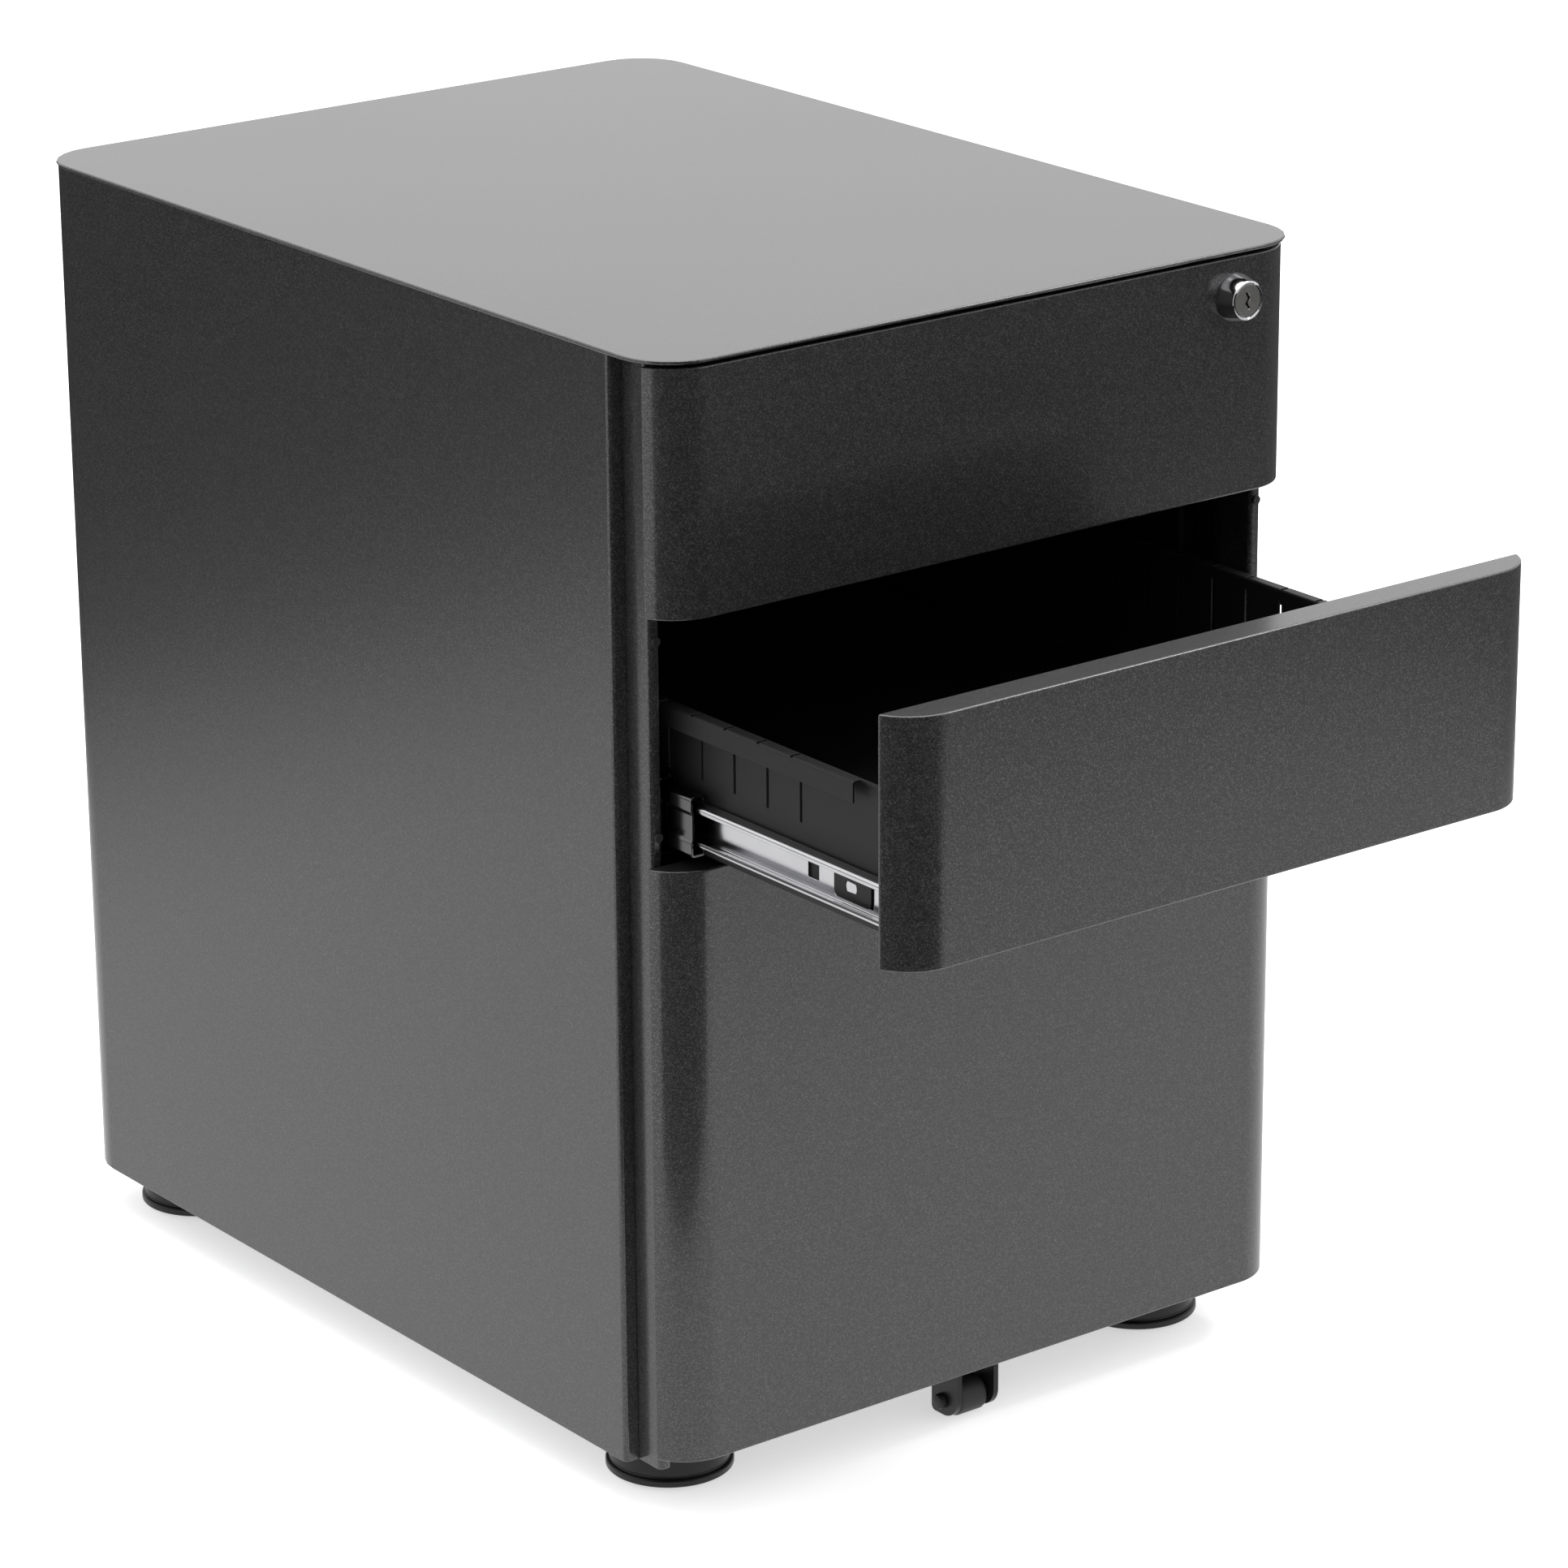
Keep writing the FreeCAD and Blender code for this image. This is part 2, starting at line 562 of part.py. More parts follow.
def make_slides(drawer):
    """Cabinet, middle and drawer members of a pair of slides, with their ball cages."""
    spec = DRAWERS[drawer]
    level = f"({spec.low} + {spec.rise})"
    first = "middle_first" if drawer == "middle" else "0"
    line = "slide_start"
    outer_back = f"(-{OPENING})"
    body = new_body(f"{drawer}_outer_rail")
    corners = channel_corners(level, outer_back, OUTER_DEEP, "outer_high", "rail_wall")
    pad(body, "front", back(line), SLIDE_LENGTH, corners)
    pair(body, f"{drawer}_cabinet_rails")

    mid_back = f"({outer_back} + mid_inset)"
    body = new_body(f"{drawer}_mid_rail")
    corners = channel_corners(level, mid_back, MID_DEEP, "mid_high", "rail_wall")
    pad(body, "front", back(line, first), SLIDE_LENGTH, corners)
    pair(body, f"{drawer}_middle_rails")

    web = f"(-{TRAY_SIDE})"
    body = new_body(f"{drawer}_inner_rail")
    path = [(f"{web} - {INNER_DEEP}", f"{level} + inner_high / 2"), (web, f"{level} + inner_high / 2"),
            (web, f"{level} - inner_high / 2"), (f"{web} - {INNER_DEEP}", f"{level} - inner_high / 2")]
    start = back(line, spec.out)
    corners = strip_corners(path, "rail_wall", "right", {1: "0.8", 2: "0.8"})
    pad(body, "front", start, SLIDE_LENGTH, corners)
    window = back(f"{line} + latch_start", spec.out)
    corners = box_corners(window, f"{level} - inner_high / 2 + 3.2",
                          f"{window} + latch_window", f"{level} + inner_high / 2 - 3.2")
    cut(body, "side", f"{web} - rail_wall - 1", "rail_wall + 2", corners)
    square = back(f"{line} + latch_start + latch_window + 12", spec.out)
    corners = box_corners(square, f"{level} - 4", f"{square} + 8", f"{level} + 4")
    cut(body, "side", f"{web} - rail_wall - 1", "rail_wall + 2", corners)
    pair(body, f"{drawer}_drawer_rails")

    lever = block(f"{drawer}_lever_plate",
                  (f"{web} - rail_wall - 1", f"{window} + 0.3", f"{level} - inner_high / 2 + 3.5"),
                  ("rail_wall + 1", "latch_window - 0.6", "inner_high - 7"))
    hole = rod(f"{drawer}_lever_hole", (f"{web} - rail_wall - 2", f"{window} + 15", level),
               "3.5", "rail_wall + 3", Vector(1, 0, 0))
    bored = doc.addObject("Part::Cut", f"{drawer}_lever")
    bored.Base = lever
    bored.Tool = hole
    pair(bored, f"{drawer}_rail_levers")

    cages = (("outer", f"({outer_back} + rail_wall + 0.3)", f"{OUTER_DEEP} - 2.2",
              f"((outer_high + mid_high) / 2 - rail_wall)", "outer_ball", f"{first} / 2", "4.4"),
             ("inner", f"({web} - {INNER_DEEP} - 0.9)", f"{INNER_DEEP} - 2.4",
              f"((mid_high + inner_high) / 2 - rail_wall)", "inner_ball",
              f"{first} + ({spec.out} - {first}) / 2", "3.6"))
    for name, rear, deep, span, ball, shift, inward in cages:
        body = new_body(f"{drawer}_{name}_cage")
        begin = back(f"{line} + {SLIDE_LENGTH} / 2 - cage_length", shift)
        corners = channel_corners(level, rear, deep, f"({span} + cage_wall)", "cage_wall")
        pad(body, "front", begin, "cage_length", corners)
        balls = []
        for end in ("+", "-"):
            ball_body = body.newObject("PartDesign::AdditiveSphere", f"{drawer}_{name}_ball")
            ball_body.AttachmentSupport = [(origin_feature(body, "XY_Plane"), "")]
            ball_body.MapMode = "FlatFace"
            ball_body.setExpression("Radius", ref(f"{ball} / 2"))
            spot = (f"{rear} + {inward}", f"{begin} + ball_pitch / 2", f"{level} {end} {span} / 2")
            for axis, text in zip("xyz", spot):
                ball_body.setExpression(f"AttachmentOffset.Base.{axis}", ref(text))
            balls.append(ball_body)
        repeat(body, balls, "y", "ball_pitch", "floor(cage_length / ball_pitch)")
        pair(body, f"{drawer}_{name}_ball_cages")


# ---- drawers ----

def make_front(drawer):
    """Outer skin: face, curved ends, top and bottom flanges, open at the rear."""
    spec = DRAWERS[drawer]
    body = new_body(f"{drawer}_front_body")
    sketch = new_sketch(body, "plan", spec.low)
    front_outline(sketch, "0", INNER_BACK)
    solid = body.newObject("PartDesign::Pad", f"{drawer}_front_pad")
    solid.Profile = sketch
    solid.setExpression("Length", ref(spec.high))
    hollow = new_sketch(body, "plan", f"{spec.low} + sheet_wall")
    front_outline(hollow, "sheet_wall", f"{INNER_BACK} + 1")
    pocket(body, hollow, "plan", f"{spec.high} - 2 * sheet_wall")
    if drawer == "top":
        cut_round(body, "front", back("face_setback - 1"), "sheet_wall + 2",
                  (LOCK_SIDE, LOCK_LEVEL), "barrel_radius + 0.1")
    place(body, ("0", f"-{spec.out}", "0"))
    keep(body, f"{drawer}_front")


def make_inner_front(drawer):
    """Pan that closes the skin's rear and carries the tray."""
    spec = DRAWERS[drawer]
    body = new_body(f"{drawer}_inner_front_body")
    head = f"({spec.low} + {spec.high} - sheet_wall)"
    foot = f"({spec.low} + sheet_wall)"
    rear = back(INNER_BACK, spec.out)
    path = [(f"{rear} - inner_reach", foot), (rear, foot), (rear, head), (f"{rear} - inner_reach", head)]
    half = f"({HALF} - inner_side)"
    pad(body, "side", f"-{half}", f"2 * {half}", strip_corners(path, "sheet_wall", "left"))
    if drawer == "top":
        cut_round(body, "front", f"{rear} - sheet_wall - 1", "sheet_wall + 2",
                  (LOCK_SIDE, LOCK_LEVEL), "barrel_radius + 0.1")
    keep(body, f"{drawer}_inner_front")


def make_tray(drawer):
    """Bottom and sides in one bent sheet, hemmed outwards, with divider slots and a back."""
    spec = DRAWERS[drawer]
    body = new_body(f"{drawer}_tray_body")
    foot = f"({spec.low} + {spec.lift})"
    head = f"({foot} + {spec.tray})"
    face = f"({TRAY_SIDE} - sheet_wall)"
    hem = f"({TRAY_SIDE} + hem_out)"
    left = [(f"-{hem}", f"{head} - hem_drop"), (f"-{hem}", head), (f"-{face}", head),
            (f"-{face}", f"{foot} + sheet_wall")]
    right = [(u[1:], v) for u, v in left[::-1]]
    start = back(INNER_BACK, spec.out)
    small = {1: "0.5", 2: "0.5", 5: "0.5", 6: "0.5"}
    corners = strip_corners(left + right, "sheet_wall", "right", small)
    pad(body, "front", start, TRAY_LENGTH, corners)
    for side in (-1, 1):
        near = f"({side} * ({TRAY_SIDE} + (1 - {side}) / 2 * (hem_out + 1)))"
        far = f"({side} * ({TRAY_SIDE} + (1 + {side}) / 2 * (hem_out + 1)))"
        corners = box_corners(near, f"{start} - 1", far, f"{start} + hem_setback")
        cut(body, "plan", f"{head} - hem_drop - 1", "hem_drop + 2", corners)
    slot = back(f"{INNER_BACK} + slot_start", spec.out)
    low = f"({foot} + slot_low)"
    corners = box_corners(slot, low, f"{slot} + slot_wide", f"{low} + slot_high")
    slot_count = f"floor(({TRAY_LENGTH} - slot_start - slot_end) / slot_pitch)"
    slots = cut(body, "side", f"-{TRAY_SIDE} - 1", f"2 * {TRAY_SIDE} + 2", corners)
    repeat(body, [slots], "y", "slot_pitch", slot_count)
    if drawer == "bottom":
        high_slots = f"{foot} + {spec.tray} - hem_drop - slot_high"
        corners = box_corners(slot, high_slots, f"{slot} + slot_wide", f"{high_slots} + slot_high")
        upper = cut(body, "side", f"-{TRAY_SIDE} - 1", f"2 * {TRAY_SIDE} + 2", corners)
        repeat(body, [upper], "y", "slot_pitch", slot_count)
    wall_start = back(f"{INNER_BACK} + {TRAY_LENGTH} - sheet_wall", spec.out)
    corners = box_corners(f"-{face}", f"{foot} + sheet_wall / 2", face, f"{head} - back_drop")
    pad(body, "front", wall_start, "sheet_wall", corners)
    keep(body, f"{drawer}_tray")


def make_catch(drawer):
    """Hook on the inner front that the lock bar's tab drops in front of."""
    spec = DRAWERS[drawer]
    level = f"({tab_level(drawer)} - bar_stroke)"
    rear = back(INNER_BACK, spec.out)
    side = f"({TRAY_SIDE} + 2)"
    tab = back("stile_setback + 13", spec.out)
    plate = block(f"{drawer}_catch_plate", (side, rear, f"{level} - 2"), ("7", "1.5", "tab_high + 4"))
    arm = block(f"{drawer}_catch_arm", (side, rear, level),
                ("2", f"{tab} + 4 - {rear}", "tab_high"))
    claw = block(f"{drawer}_catch_claw", (side, f"{tab} + 1.5", level), ("8", "2.5", "tab_high"))
    joined(f"{drawer}_catch", [plate, arm, claw])


def make_file_rails():
    """Two rails in the lowest drawer for hanging files."""
    spec = DRAWERS["bottom"]
    head = f"({spec.low} + {spec.lift} + {spec.tray})"
    rail = block("file_rail", (f"-{TRAY_SIDE} + 14", back(INNER_BACK), f"{head} - 16"),
                 ("2.5", f"{TRAY_LENGTH} - sheet_wall", "14"))
    pair(rail, "file_rails")


# ---- lock ----

def make_lock():
    """Bezel and barrel, plug with its keyway, cam with its pin, and the bar in the right stile."""
    spot = (LOCK_SIDE, back("face_setback"), LOCK_LEVEL)
    body = new_body("lock_case_body")
    bore = "plug_radius + plug_play"
    head_bore = "plug_head + plug_play"
    head_rear = "-bezel_out + plug_head_deep"
    corners = [("-bezel_out", head_bore), ("-bezel_out", "bezel_face"), ("-1.5", "bezel_radius"),
               ("0", "bezel_radius"), ("0", "barrel_radius"), ("barrel_length", "barrel_radius"),
               ("barrel_length", bore), (head_rear, bore), (head_rear, head_bore)]
    turned(body, "side", "H_Axis", corners)
    place(body, spot)
    keep(body, "lock_case")

    body = new_body("lock_plug_body")
    corners = [("-bezel_out + 0.6", "0"), ("-bezel_out + 0.6", "plug_head"),
               (f"{head_rear} - plug_play", "plug_head"), (f"{head_rear} - plug_play", "plug_radius"),
               ("barrel_length + 2", "plug_radius"), ("barrel_length + 2", "0")]
    turned(body, "side", "H_Axis", corners)
    keyway = box_corners("-0.7", "-keyway_half", "0.7", "keyway_half")
    cut(body, "front", "-bezel_out", "14", keyway)
    place(body, spot)
    keep(body, "lock_plug")

    cam_line = back("face_setback + barrel_length + 2")
    disc = rod("cam_disc", (LOCK_SIDE, cam_line, LOCK_LEVEL), "7.6", "2", Vector(0, 1, 0))
    pin_x = f"({LOCK_SIDE} + cam_pin_throw * 0.7071)"
    pin_z = f"{LOCK_LEVEL} + cam_pin_throw * 0.7071"
    pin = rod("cam_pin", (pin_x, cam_line, pin_z), "cam_pin_radius", "8", Vector(0, 1, 0))
    joined("lock_cam", [disc, pin])

    bar_x = f"({OPENING} + sheet_wall + 1.2)"
    bar_y = back("stile_setback + 8")
    bar_low = f"({tab_level('bottom')} - 20)"
    arm_level = f"({pin_z} - 5)"
    pieces = [block("bar_strip", (bar_x, bar_y, bar_low),
                    ("bar_thick", "bar_wide - 2", f"{arm_level} + 10 - {bar_low}"))]
    tab_line = back("stile_setback + 10")
    for drawer in DRAWERS:
        pieces.append(block(f"{drawer}_tab", (f"{OPENING} - 6", tab_line, tab_level(drawer)),
                            ("9", "3", "tab_high")))
    arm = new_body("bar_arm")
    left = f"({pin_x} - cam_pin_radius - 4.5)"
    corners = box_corners(left, arm_level, f"{bar_x} + bar_thick", f"{arm_level} + 10")
    arm_line = back("face_setback + barrel_length + 6.5")
    pad(arm, "front", arm_line, "1.5", corners)
    corners = box_corners(f"{pin_x} - 2.1", f"{pin_z} - 2.1", f"{pin_x} + 4", f"{pin_z} + 2.1")
    cut(arm, "front", f"{arm_line} - 1", "4", corners)
    joined("lock_bar", pieces + [arm])

    guides = []
    guide_x = f"({bar_x} + bar_thick + 0.3)"
    for name, level in (("low", f"{bar_low} + 12"), ("high", f"{arm_level} - 24")):
        guides.append(block(f"{name}_guide", (guide_x, bar_y, level),
                            (f"{HALF} - recess_depth - sheet_wall - {guide_x}", "bar_wide - 4", "8")))
    group("lock_bar_guides", guides)


# ---- casters ----

CASTER_SIDE = f"({HALF} - caster_inset)"
CASTERS = {
    "front_left": (f"-{CASTER_SIDE}", back("caster_front")),
    "front_right": (CASTER_SIDE, back("caster_front")),
    "rear_left": (f"-{CASTER_SIDE}", back("body_depth - caster_rear")),
    "rear_right": (CASTER_SIDE, back("body_depth - caster_rear")),
}
HOOD_TOP = f"({PAN_UNDER} - socket_plate - 2.5)"


def make_caster(name, spot):
    """Hood with stem and axle web, and a pair of wheels on one axle."""
    body = new_body(name + "_hood_body")
    shoulder = f"({HOOD_TOP} - 5)"
    stem_end = f"({PAN_UNDER} + socket_sleeve - 1)"
    roof = f"({HOOD_TOP} - hood_wall - 1)"
    cavity = "hood_radius - hood_wall - 2"
    corners = [("0", roof), ("hood_radius - 9", roof), (cavity, f"{shoulder} - 3"),
               (cavity, "hood_clear + 4.5"),
               ("hood_radius - hood_wall", "hood_clear + 3"), ("hood_radius - hood_wall", "hood_clear"),
               ("hood_radius", "hood_clear"), ("hood_radius", "hood_clear + 4"),
               ("hood_radius - 2", "hood_clear + 5.5"), ("hood_radius - 2", shoulder),
               ("hood_radius - 8", HOOD_TOP), ("stem_radius", HOOD_TOP),
               ("stem_radius", stem_end), ("0", stem_end)]
    turned(body, "front", "V_Axis", corners)
    web = box_corners("-axle_radius - 3", "wheel_radius - axle_radius - 3", "wheel_trail + axle_radius + 3",
                      f"{HOOD_TOP} - hood_wall - 0.5")
    pad(body, "side", "-wheel_space / 2 + 0.5", "wheel_space - 1", web)
    cut_round(body, "side", "-wheel_space", "2 * wheel_space", ("wheel_trail", "wheel_radius"),
              "axle_radius + axle_play")
    place(body, spot + ("0",))
    keep(body, f"caster_hood_{name}")

    body = new_body(name + "_wheels_body")
    inner = "wheel_space / 2"
    outer = "wheel_space / 2 + tread_wide"
    edge = "wheel_radius - 1.5"
    corners = [(f"-({outer})", "0"), (f"-({outer})", edge), (f"-({outer}) + 1.5", "wheel_radius"),
               (f"-({inner}) - 1.5", "wheel_radius"), (f"-({inner})", edge), (f"-({inner})", "axle_radius"),
               (inner, "axle_radius"), (inner, edge), (f"{inner} + 1.5", "wheel_radius"),
               (f"{outer} - 1.5", "wheel_radius"), (outer, edge), (outer, "0")]
    turned(body, "front", "H_Axis", corners)
    place(body, (spot[0], f"{spot[1]} + wheel_trail", "wheel_radius"))
    keep(body, f"caster_wheels_{name}")


def make_sockets():
    """Plate and sleeve under the base pan for each stem, with their screws."""
    sockets, screws = [], []
    for name, spot in CASTERS.items():
        body = new_body(name + "_socket")
        bore = "stem_radius + 0.3"
        sleeve_end = f"{PAN_UNDER} + socket_sleeve"
        corners = [(bore, f"{PAN_UNDER} - socket_plate"), ("socket_radius", f"{PAN_UNDER} - socket_plate"),
                   ("socket_radius", PAN_UNDER), ("stem_radius + 3", PAN_UNDER),
                   ("stem_radius + 3", sleeve_end), (bore, sleeve_end)]
        turned(body, "front", "V_Axis", corners)
        place(body, spot + ("0",))
        sockets.append(body)
        for turn, (dx, dy) in enumerate(((1, 0), (0, 1), (-1, 0), (0, -1))):
            foot = (f"{spot[0]} + {9.6 * dx}", f"{spot[1]} + {9.6 * dy}",
                    f"{PAN_UNDER} - socket_plate - 1.4")
            screws.append(rod(f"{name}_screw_{turn}", foot, "2.2", "1.4"))
    group("caster_sockets", sockets)
    group("caster_screws", screws)


def make_fifth_wheel():
    """Stabilising wheel behind the lowest front, in a bracket under that drawer's tray."""
    centre = back("fifth_setback")
    axle_level = "fifth_clear + fifth_radius"
    under = f"({BOTTOM_LOW} + tall_tray_lift)"
    body = new_body("fifth_wheel_body")
    half = "(fifth_wide / 2)"
    inside = f"({half} + cheek_gap)"
    neck = f"({inside} + cheek_wall + axle_play)"
    end = f"{neck} + axle_head_long"
    shoulder = [(half, "fifth_radius - 2.5"), (half, "axle_radius"), (neck, "axle_radius"),
                (neck, "axle_head"), (end, "axle_head"), (end, "0")]
    corners = [(f"-({u})", v) for u, v in shoulder[::-1]]
    corners += [(f"-{half} + 2.5", "fifth_radius"), (f"{half} - 2.5", "fifth_radius")] + shoulder
    turned(body, "front", "H_Axis", corners)
    place(body, ("0", centre, axle_level))
    keep(body, "fifth_wheel")

    head = back(f"{INNER_BACK} + 1.5")
    tail = f"({centre} + cheek_behind)"
    face = f"({centre} - cheek_ahead)"
    foot = "fifth_clear + 2"
    side_view = [(head, under), (head, f"{BOTTOM_LOW} - 2"), (face, f"{BOTTOM_LOW} - 5"),
                 (face, foot, "cheek_round"), (tail, foot, "3"), (tail, under)]
    cheeks = []
    for name, start in (("left", f"-({inside}) - cheek_wall"), ("right", inside)):
        cheek = new_body(f"{name}_cheek")
        pad(cheek, "side", start, "cheek_wall", side_view)
        cut_round(cheek, "side", f"{start} - 1", "cheek_wall + 2", (centre, axle_level),
                  "axle_radius + axle_play")
        cheeks.append(cheek)
    plate = block("bracket_plate", (f"-({inside}) - cheek_wall", head, f"{under} - 2"),
                  (f"2 * ({inside} + cheek_wall)", f"{tail} - {head}", "2"))
    joined("fifth_wheel_bracket", cheeks + [plate])


def make_bumpers():
    """Rubber discs on the stiles that the drawers close against."""
    discs = []
    for drawer, spec in DRAWERS.items():
        for spot, level in (("low", f"{spec.low} + 12"), ("high", f"{spec.low} + {spec.high} - 12")):
            disc = rod(f"{drawer}_{spot}_bumper", (f"-{OPENING} - 3.2", back("stile_setback"), level),
                       "2.2", "1.5", Vector(0, -1, 0))
            discs += [disc, mirrored(disc, f"{drawer}_{spot}_bumper_right")]
    group("drawer_bumpers", discs)


make_wrapper()
make_lid()
make_stiles()
make_top_rails()
make_base_pan()
make_uprights()
for drawer_name in DRAWERS:
    make_slides(drawer_name)
    make_front(drawer_name)
    make_inner_front(drawer_name)
    make_tray(drawer_name)
    make_catch(drawer_name)
make_file_rails()
make_lock()
for caster_name, caster_spot in CASTERS.items():
    make_caster(caster_name, caster_spot)
make_sockets()
make_fifth_wheel()
make_bumpers()
doc.recompute()

faults = [item.Name for item in doc.Objects if {"Invalid", "Error"} & set(item.State)]
faults += [node.Label for node in NODES if node.Shape.isNull() or not node.Shape.isValid()]
if faults:
    raise RuntimeError("pieces that failed: " + ", ".join(faults))
os.makedirs("parts", exist_ok=True)
for node in NODES:
    node.Shape.exportStep(f"parts/{node.Label}.step")
    box = node.Shape.BoundBox
    print(f"{node.Label:32s} solids {len(node.Shape.Solids):2d} volume {node.Shape.Volume:10.0f}"
          f" x {box.XMin:7.1f} {box.XMax:7.1f} y {box.YMin:7.1f} {box.YMax:7.1f}"
          f" z {box.ZMin:6.1f} {box.ZMax:6.1f}")
print("nodes", len(NODES))
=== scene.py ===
"""Looks of the rolling pedestal cabinet: painted folded sheet, rolled slide members, turned
plastic casters and a chromed lock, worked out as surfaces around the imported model."""
import json
import math
import bpy
import numpy as np
from mathutils import Matrix, Vector


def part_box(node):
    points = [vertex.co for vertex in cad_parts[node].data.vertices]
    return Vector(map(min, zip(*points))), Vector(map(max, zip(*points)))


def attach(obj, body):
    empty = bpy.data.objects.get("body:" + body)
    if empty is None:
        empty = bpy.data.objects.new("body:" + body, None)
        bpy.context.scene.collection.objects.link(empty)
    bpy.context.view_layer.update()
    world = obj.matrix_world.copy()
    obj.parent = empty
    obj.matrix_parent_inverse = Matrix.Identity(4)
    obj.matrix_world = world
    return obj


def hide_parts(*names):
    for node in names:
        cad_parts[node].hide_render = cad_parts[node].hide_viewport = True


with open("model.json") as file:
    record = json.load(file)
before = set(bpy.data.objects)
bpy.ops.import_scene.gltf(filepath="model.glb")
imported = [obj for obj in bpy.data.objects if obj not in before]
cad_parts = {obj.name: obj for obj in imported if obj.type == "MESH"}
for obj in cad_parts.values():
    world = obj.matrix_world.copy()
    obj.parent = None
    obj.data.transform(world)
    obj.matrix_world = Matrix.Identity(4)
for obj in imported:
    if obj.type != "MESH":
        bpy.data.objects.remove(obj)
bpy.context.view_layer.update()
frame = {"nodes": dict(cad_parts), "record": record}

MM = 0.001
RECORD = frame["record"]
BODY_OF = {node: body for body, nodes in RECORD["behaviour"]["bodies"].items() for node in nodes}
SLOT_OF = {row["node"]: row["material_slot"] for row in RECORD["subparts"]}
DRAWERS = ("top", "middle", "bottom")
CASTERS = ("front_left", "front_right", "rear_left", "rear_right")


def span(node):
    """Lowest and highest corner of a node, in millimetres."""
    low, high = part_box(node)
    return np.array(low) / MM, np.array(high) / MM


# ---- lines and loops ----

def bent(corners, radii):
    """Open line through corners. At a corner with radius r the line leaves the first run
    r * tan(turn / 2) before the corner and turns about a centre r to its side."""
    corners = np.asarray(corners, float)
    parts = [corners[:1]]
    for before, at, after, radius in zip(corners, corners[1:], corners[2:], radii[1:]):
        first, last = at - before, after - at
        first, last = first / np.linalg.norm(first), last / np.linalg.norm(last)
        turn = math.atan2(first[0] * last[1] - first[1] * last[0], first @ last)
        if radius <= 0 or abs(turn) < 1e-6:
            parts.append(at[None])
            continue
        side = np.array([-first[1], first[0]]) * math.copysign(1, turn)
        start = at - first * radius * math.tan(abs(turn) / 2)
        centre = start + side * radius
        angles = np.linspace(0, abs(turn), max(3, round(abs(turn) / math.radians(14)) + 1))
        parts.append(centre - side * radius * np.cos(angles)[:, None]
                     + first * radius * np.sin(angles)[:, None])
    parts.append(corners[-1:])
    line = np.concatenate(parts)
    apart = np.linalg.norm(np.diff(line, axis=0), axis=1) > 1e-4
    return line[np.concatenate([[True], apart])]


def rounded(corners, radii):
    """Closed loop through corners, each with its own radius."""
    corners = np.asarray(corners, float)
    start = (corners[-1] + corners[0]) / 2
    line = bent(np.vstack([start, corners, start]), [0, *radii, 0])
    return line[:-1]


def moved(line, distance, closed=False):
    """Line moved to its left by a distance: each point goes along the mean of the two
    runs' normals, stretched by 1 / cos(half the turn), so the runs stay parallel."""
    if closed:
        before, after = line - np.roll(line, 1, 0), np.roll(line, -1, 0) - line
    else:
        runs = np.diff(line, axis=0)
        before, after = np.vstack([runs[:1], runs]), np.vstack([runs, runs[-1:]])
    before = before / np.linalg.norm(before, axis=1)[:, None]
    after = after / np.linalg.norm(after, axis=1)[:, None]
    normal = np.stack([-(before + after)[:, 1], (before + after)[:, 0]], 1)
    normal = normal / np.linalg.norm(normal, axis=1)[:, None]
    across = np.stack([-after[:, 1], after[:, 0]], 1)
    return line + normal * distance / np.einsum("ij,ij->i", normal, across)[:, None]


# ---- meshes ----

def signed_volume(points, faces):
    """Six times the volume inside faces, by fans of triangles seen from the origin."""
    total = 0.0
    for block in faces:
        for k in range(1, block.shape[1] - 1):
            a, b, c = points[block[:, 0]], points[block[:, k]], points[block[:, k + 1]]
            total += np.einsum("ij,ij->i", a, np.cross(b, c)).sum()
    return total


def solid(name, points, faces, nodes, flat=(), bevel=0.25, sharp=32):
    """Closed piece from points in millimetres and blocks of faces, which are turned round
    together if they point inwards. Blocks listed in flat are shaded flat."""
    points = np.asarray(points, float)
    used = np.unique(np.concatenate([block.ravel() for block in faces]))
    renumber = np.zeros(len(points), int)
    renumber[used] = np.arange(len(used))
    points, faces = points[used], [renumber[block] for block in faces]
    if signed_volume(points - points.mean(0), faces) < 0:
        faces = [block[:, ::-1] for block in faces]
    mesh = bpy.data.meshes.new(name)
    mesh.from_pydata((points * MM).tolist(), [], [face for block in faces for face in block.tolist()])
    smooth = np.concatenate([np.full(len(block), k not in flat) for k, block in enumerate(faces)])
    mesh.polygons.foreach_set("use_smooth", smooth)
    mesh.set_sharp_from_angle(angle=math.radians(sharp))
    piece = bpy.data.objects.new(name, mesh)
    bpy.context.scene.collection.objects.link(piece)
    soften(piece, bevel)
    node = nodes[0]
    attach(piece, BODY_OF[node])
    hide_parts(*nodes)
    piece.data.materials.append(FINISHES[SLOT_OF[node]])
    return piece


def soften(piece, width):
    """Small round along the sharp edges, with normals that keep flat faces flat."""
    if width:
        edge = piece.modifiers.new("edge_round", "BEVEL")
        edge.width = width * MM
        edge.segments = 2
        edge.limit_method = "ANGLE"
        edge.angle_limit = math.radians(40)
        edge.use_clamp_overlap = True
    weight = piece.modifiers.new("flat_faces", "WEIGHTED_NORMAL")
    weight.keep_sharp = True


def quads(rows, cols, wrap_rows=False, wrap_cols=False, start=0):
    """Faces of a grid whose point (i, j) is number start + i * cols + j."""
    i, j = np.meshgrid(np.arange(rows - (not wrap_rows)), np.arange(cols - (not wrap_cols)), indexing="ij")
    i, j = i.ravel(), j.ravel()
    k, m = (i + 1) % rows, (j + 1) % cols
    return start + np.stack([i * cols + j, k * cols + j, k * cols + m, i * cols + m], 1)


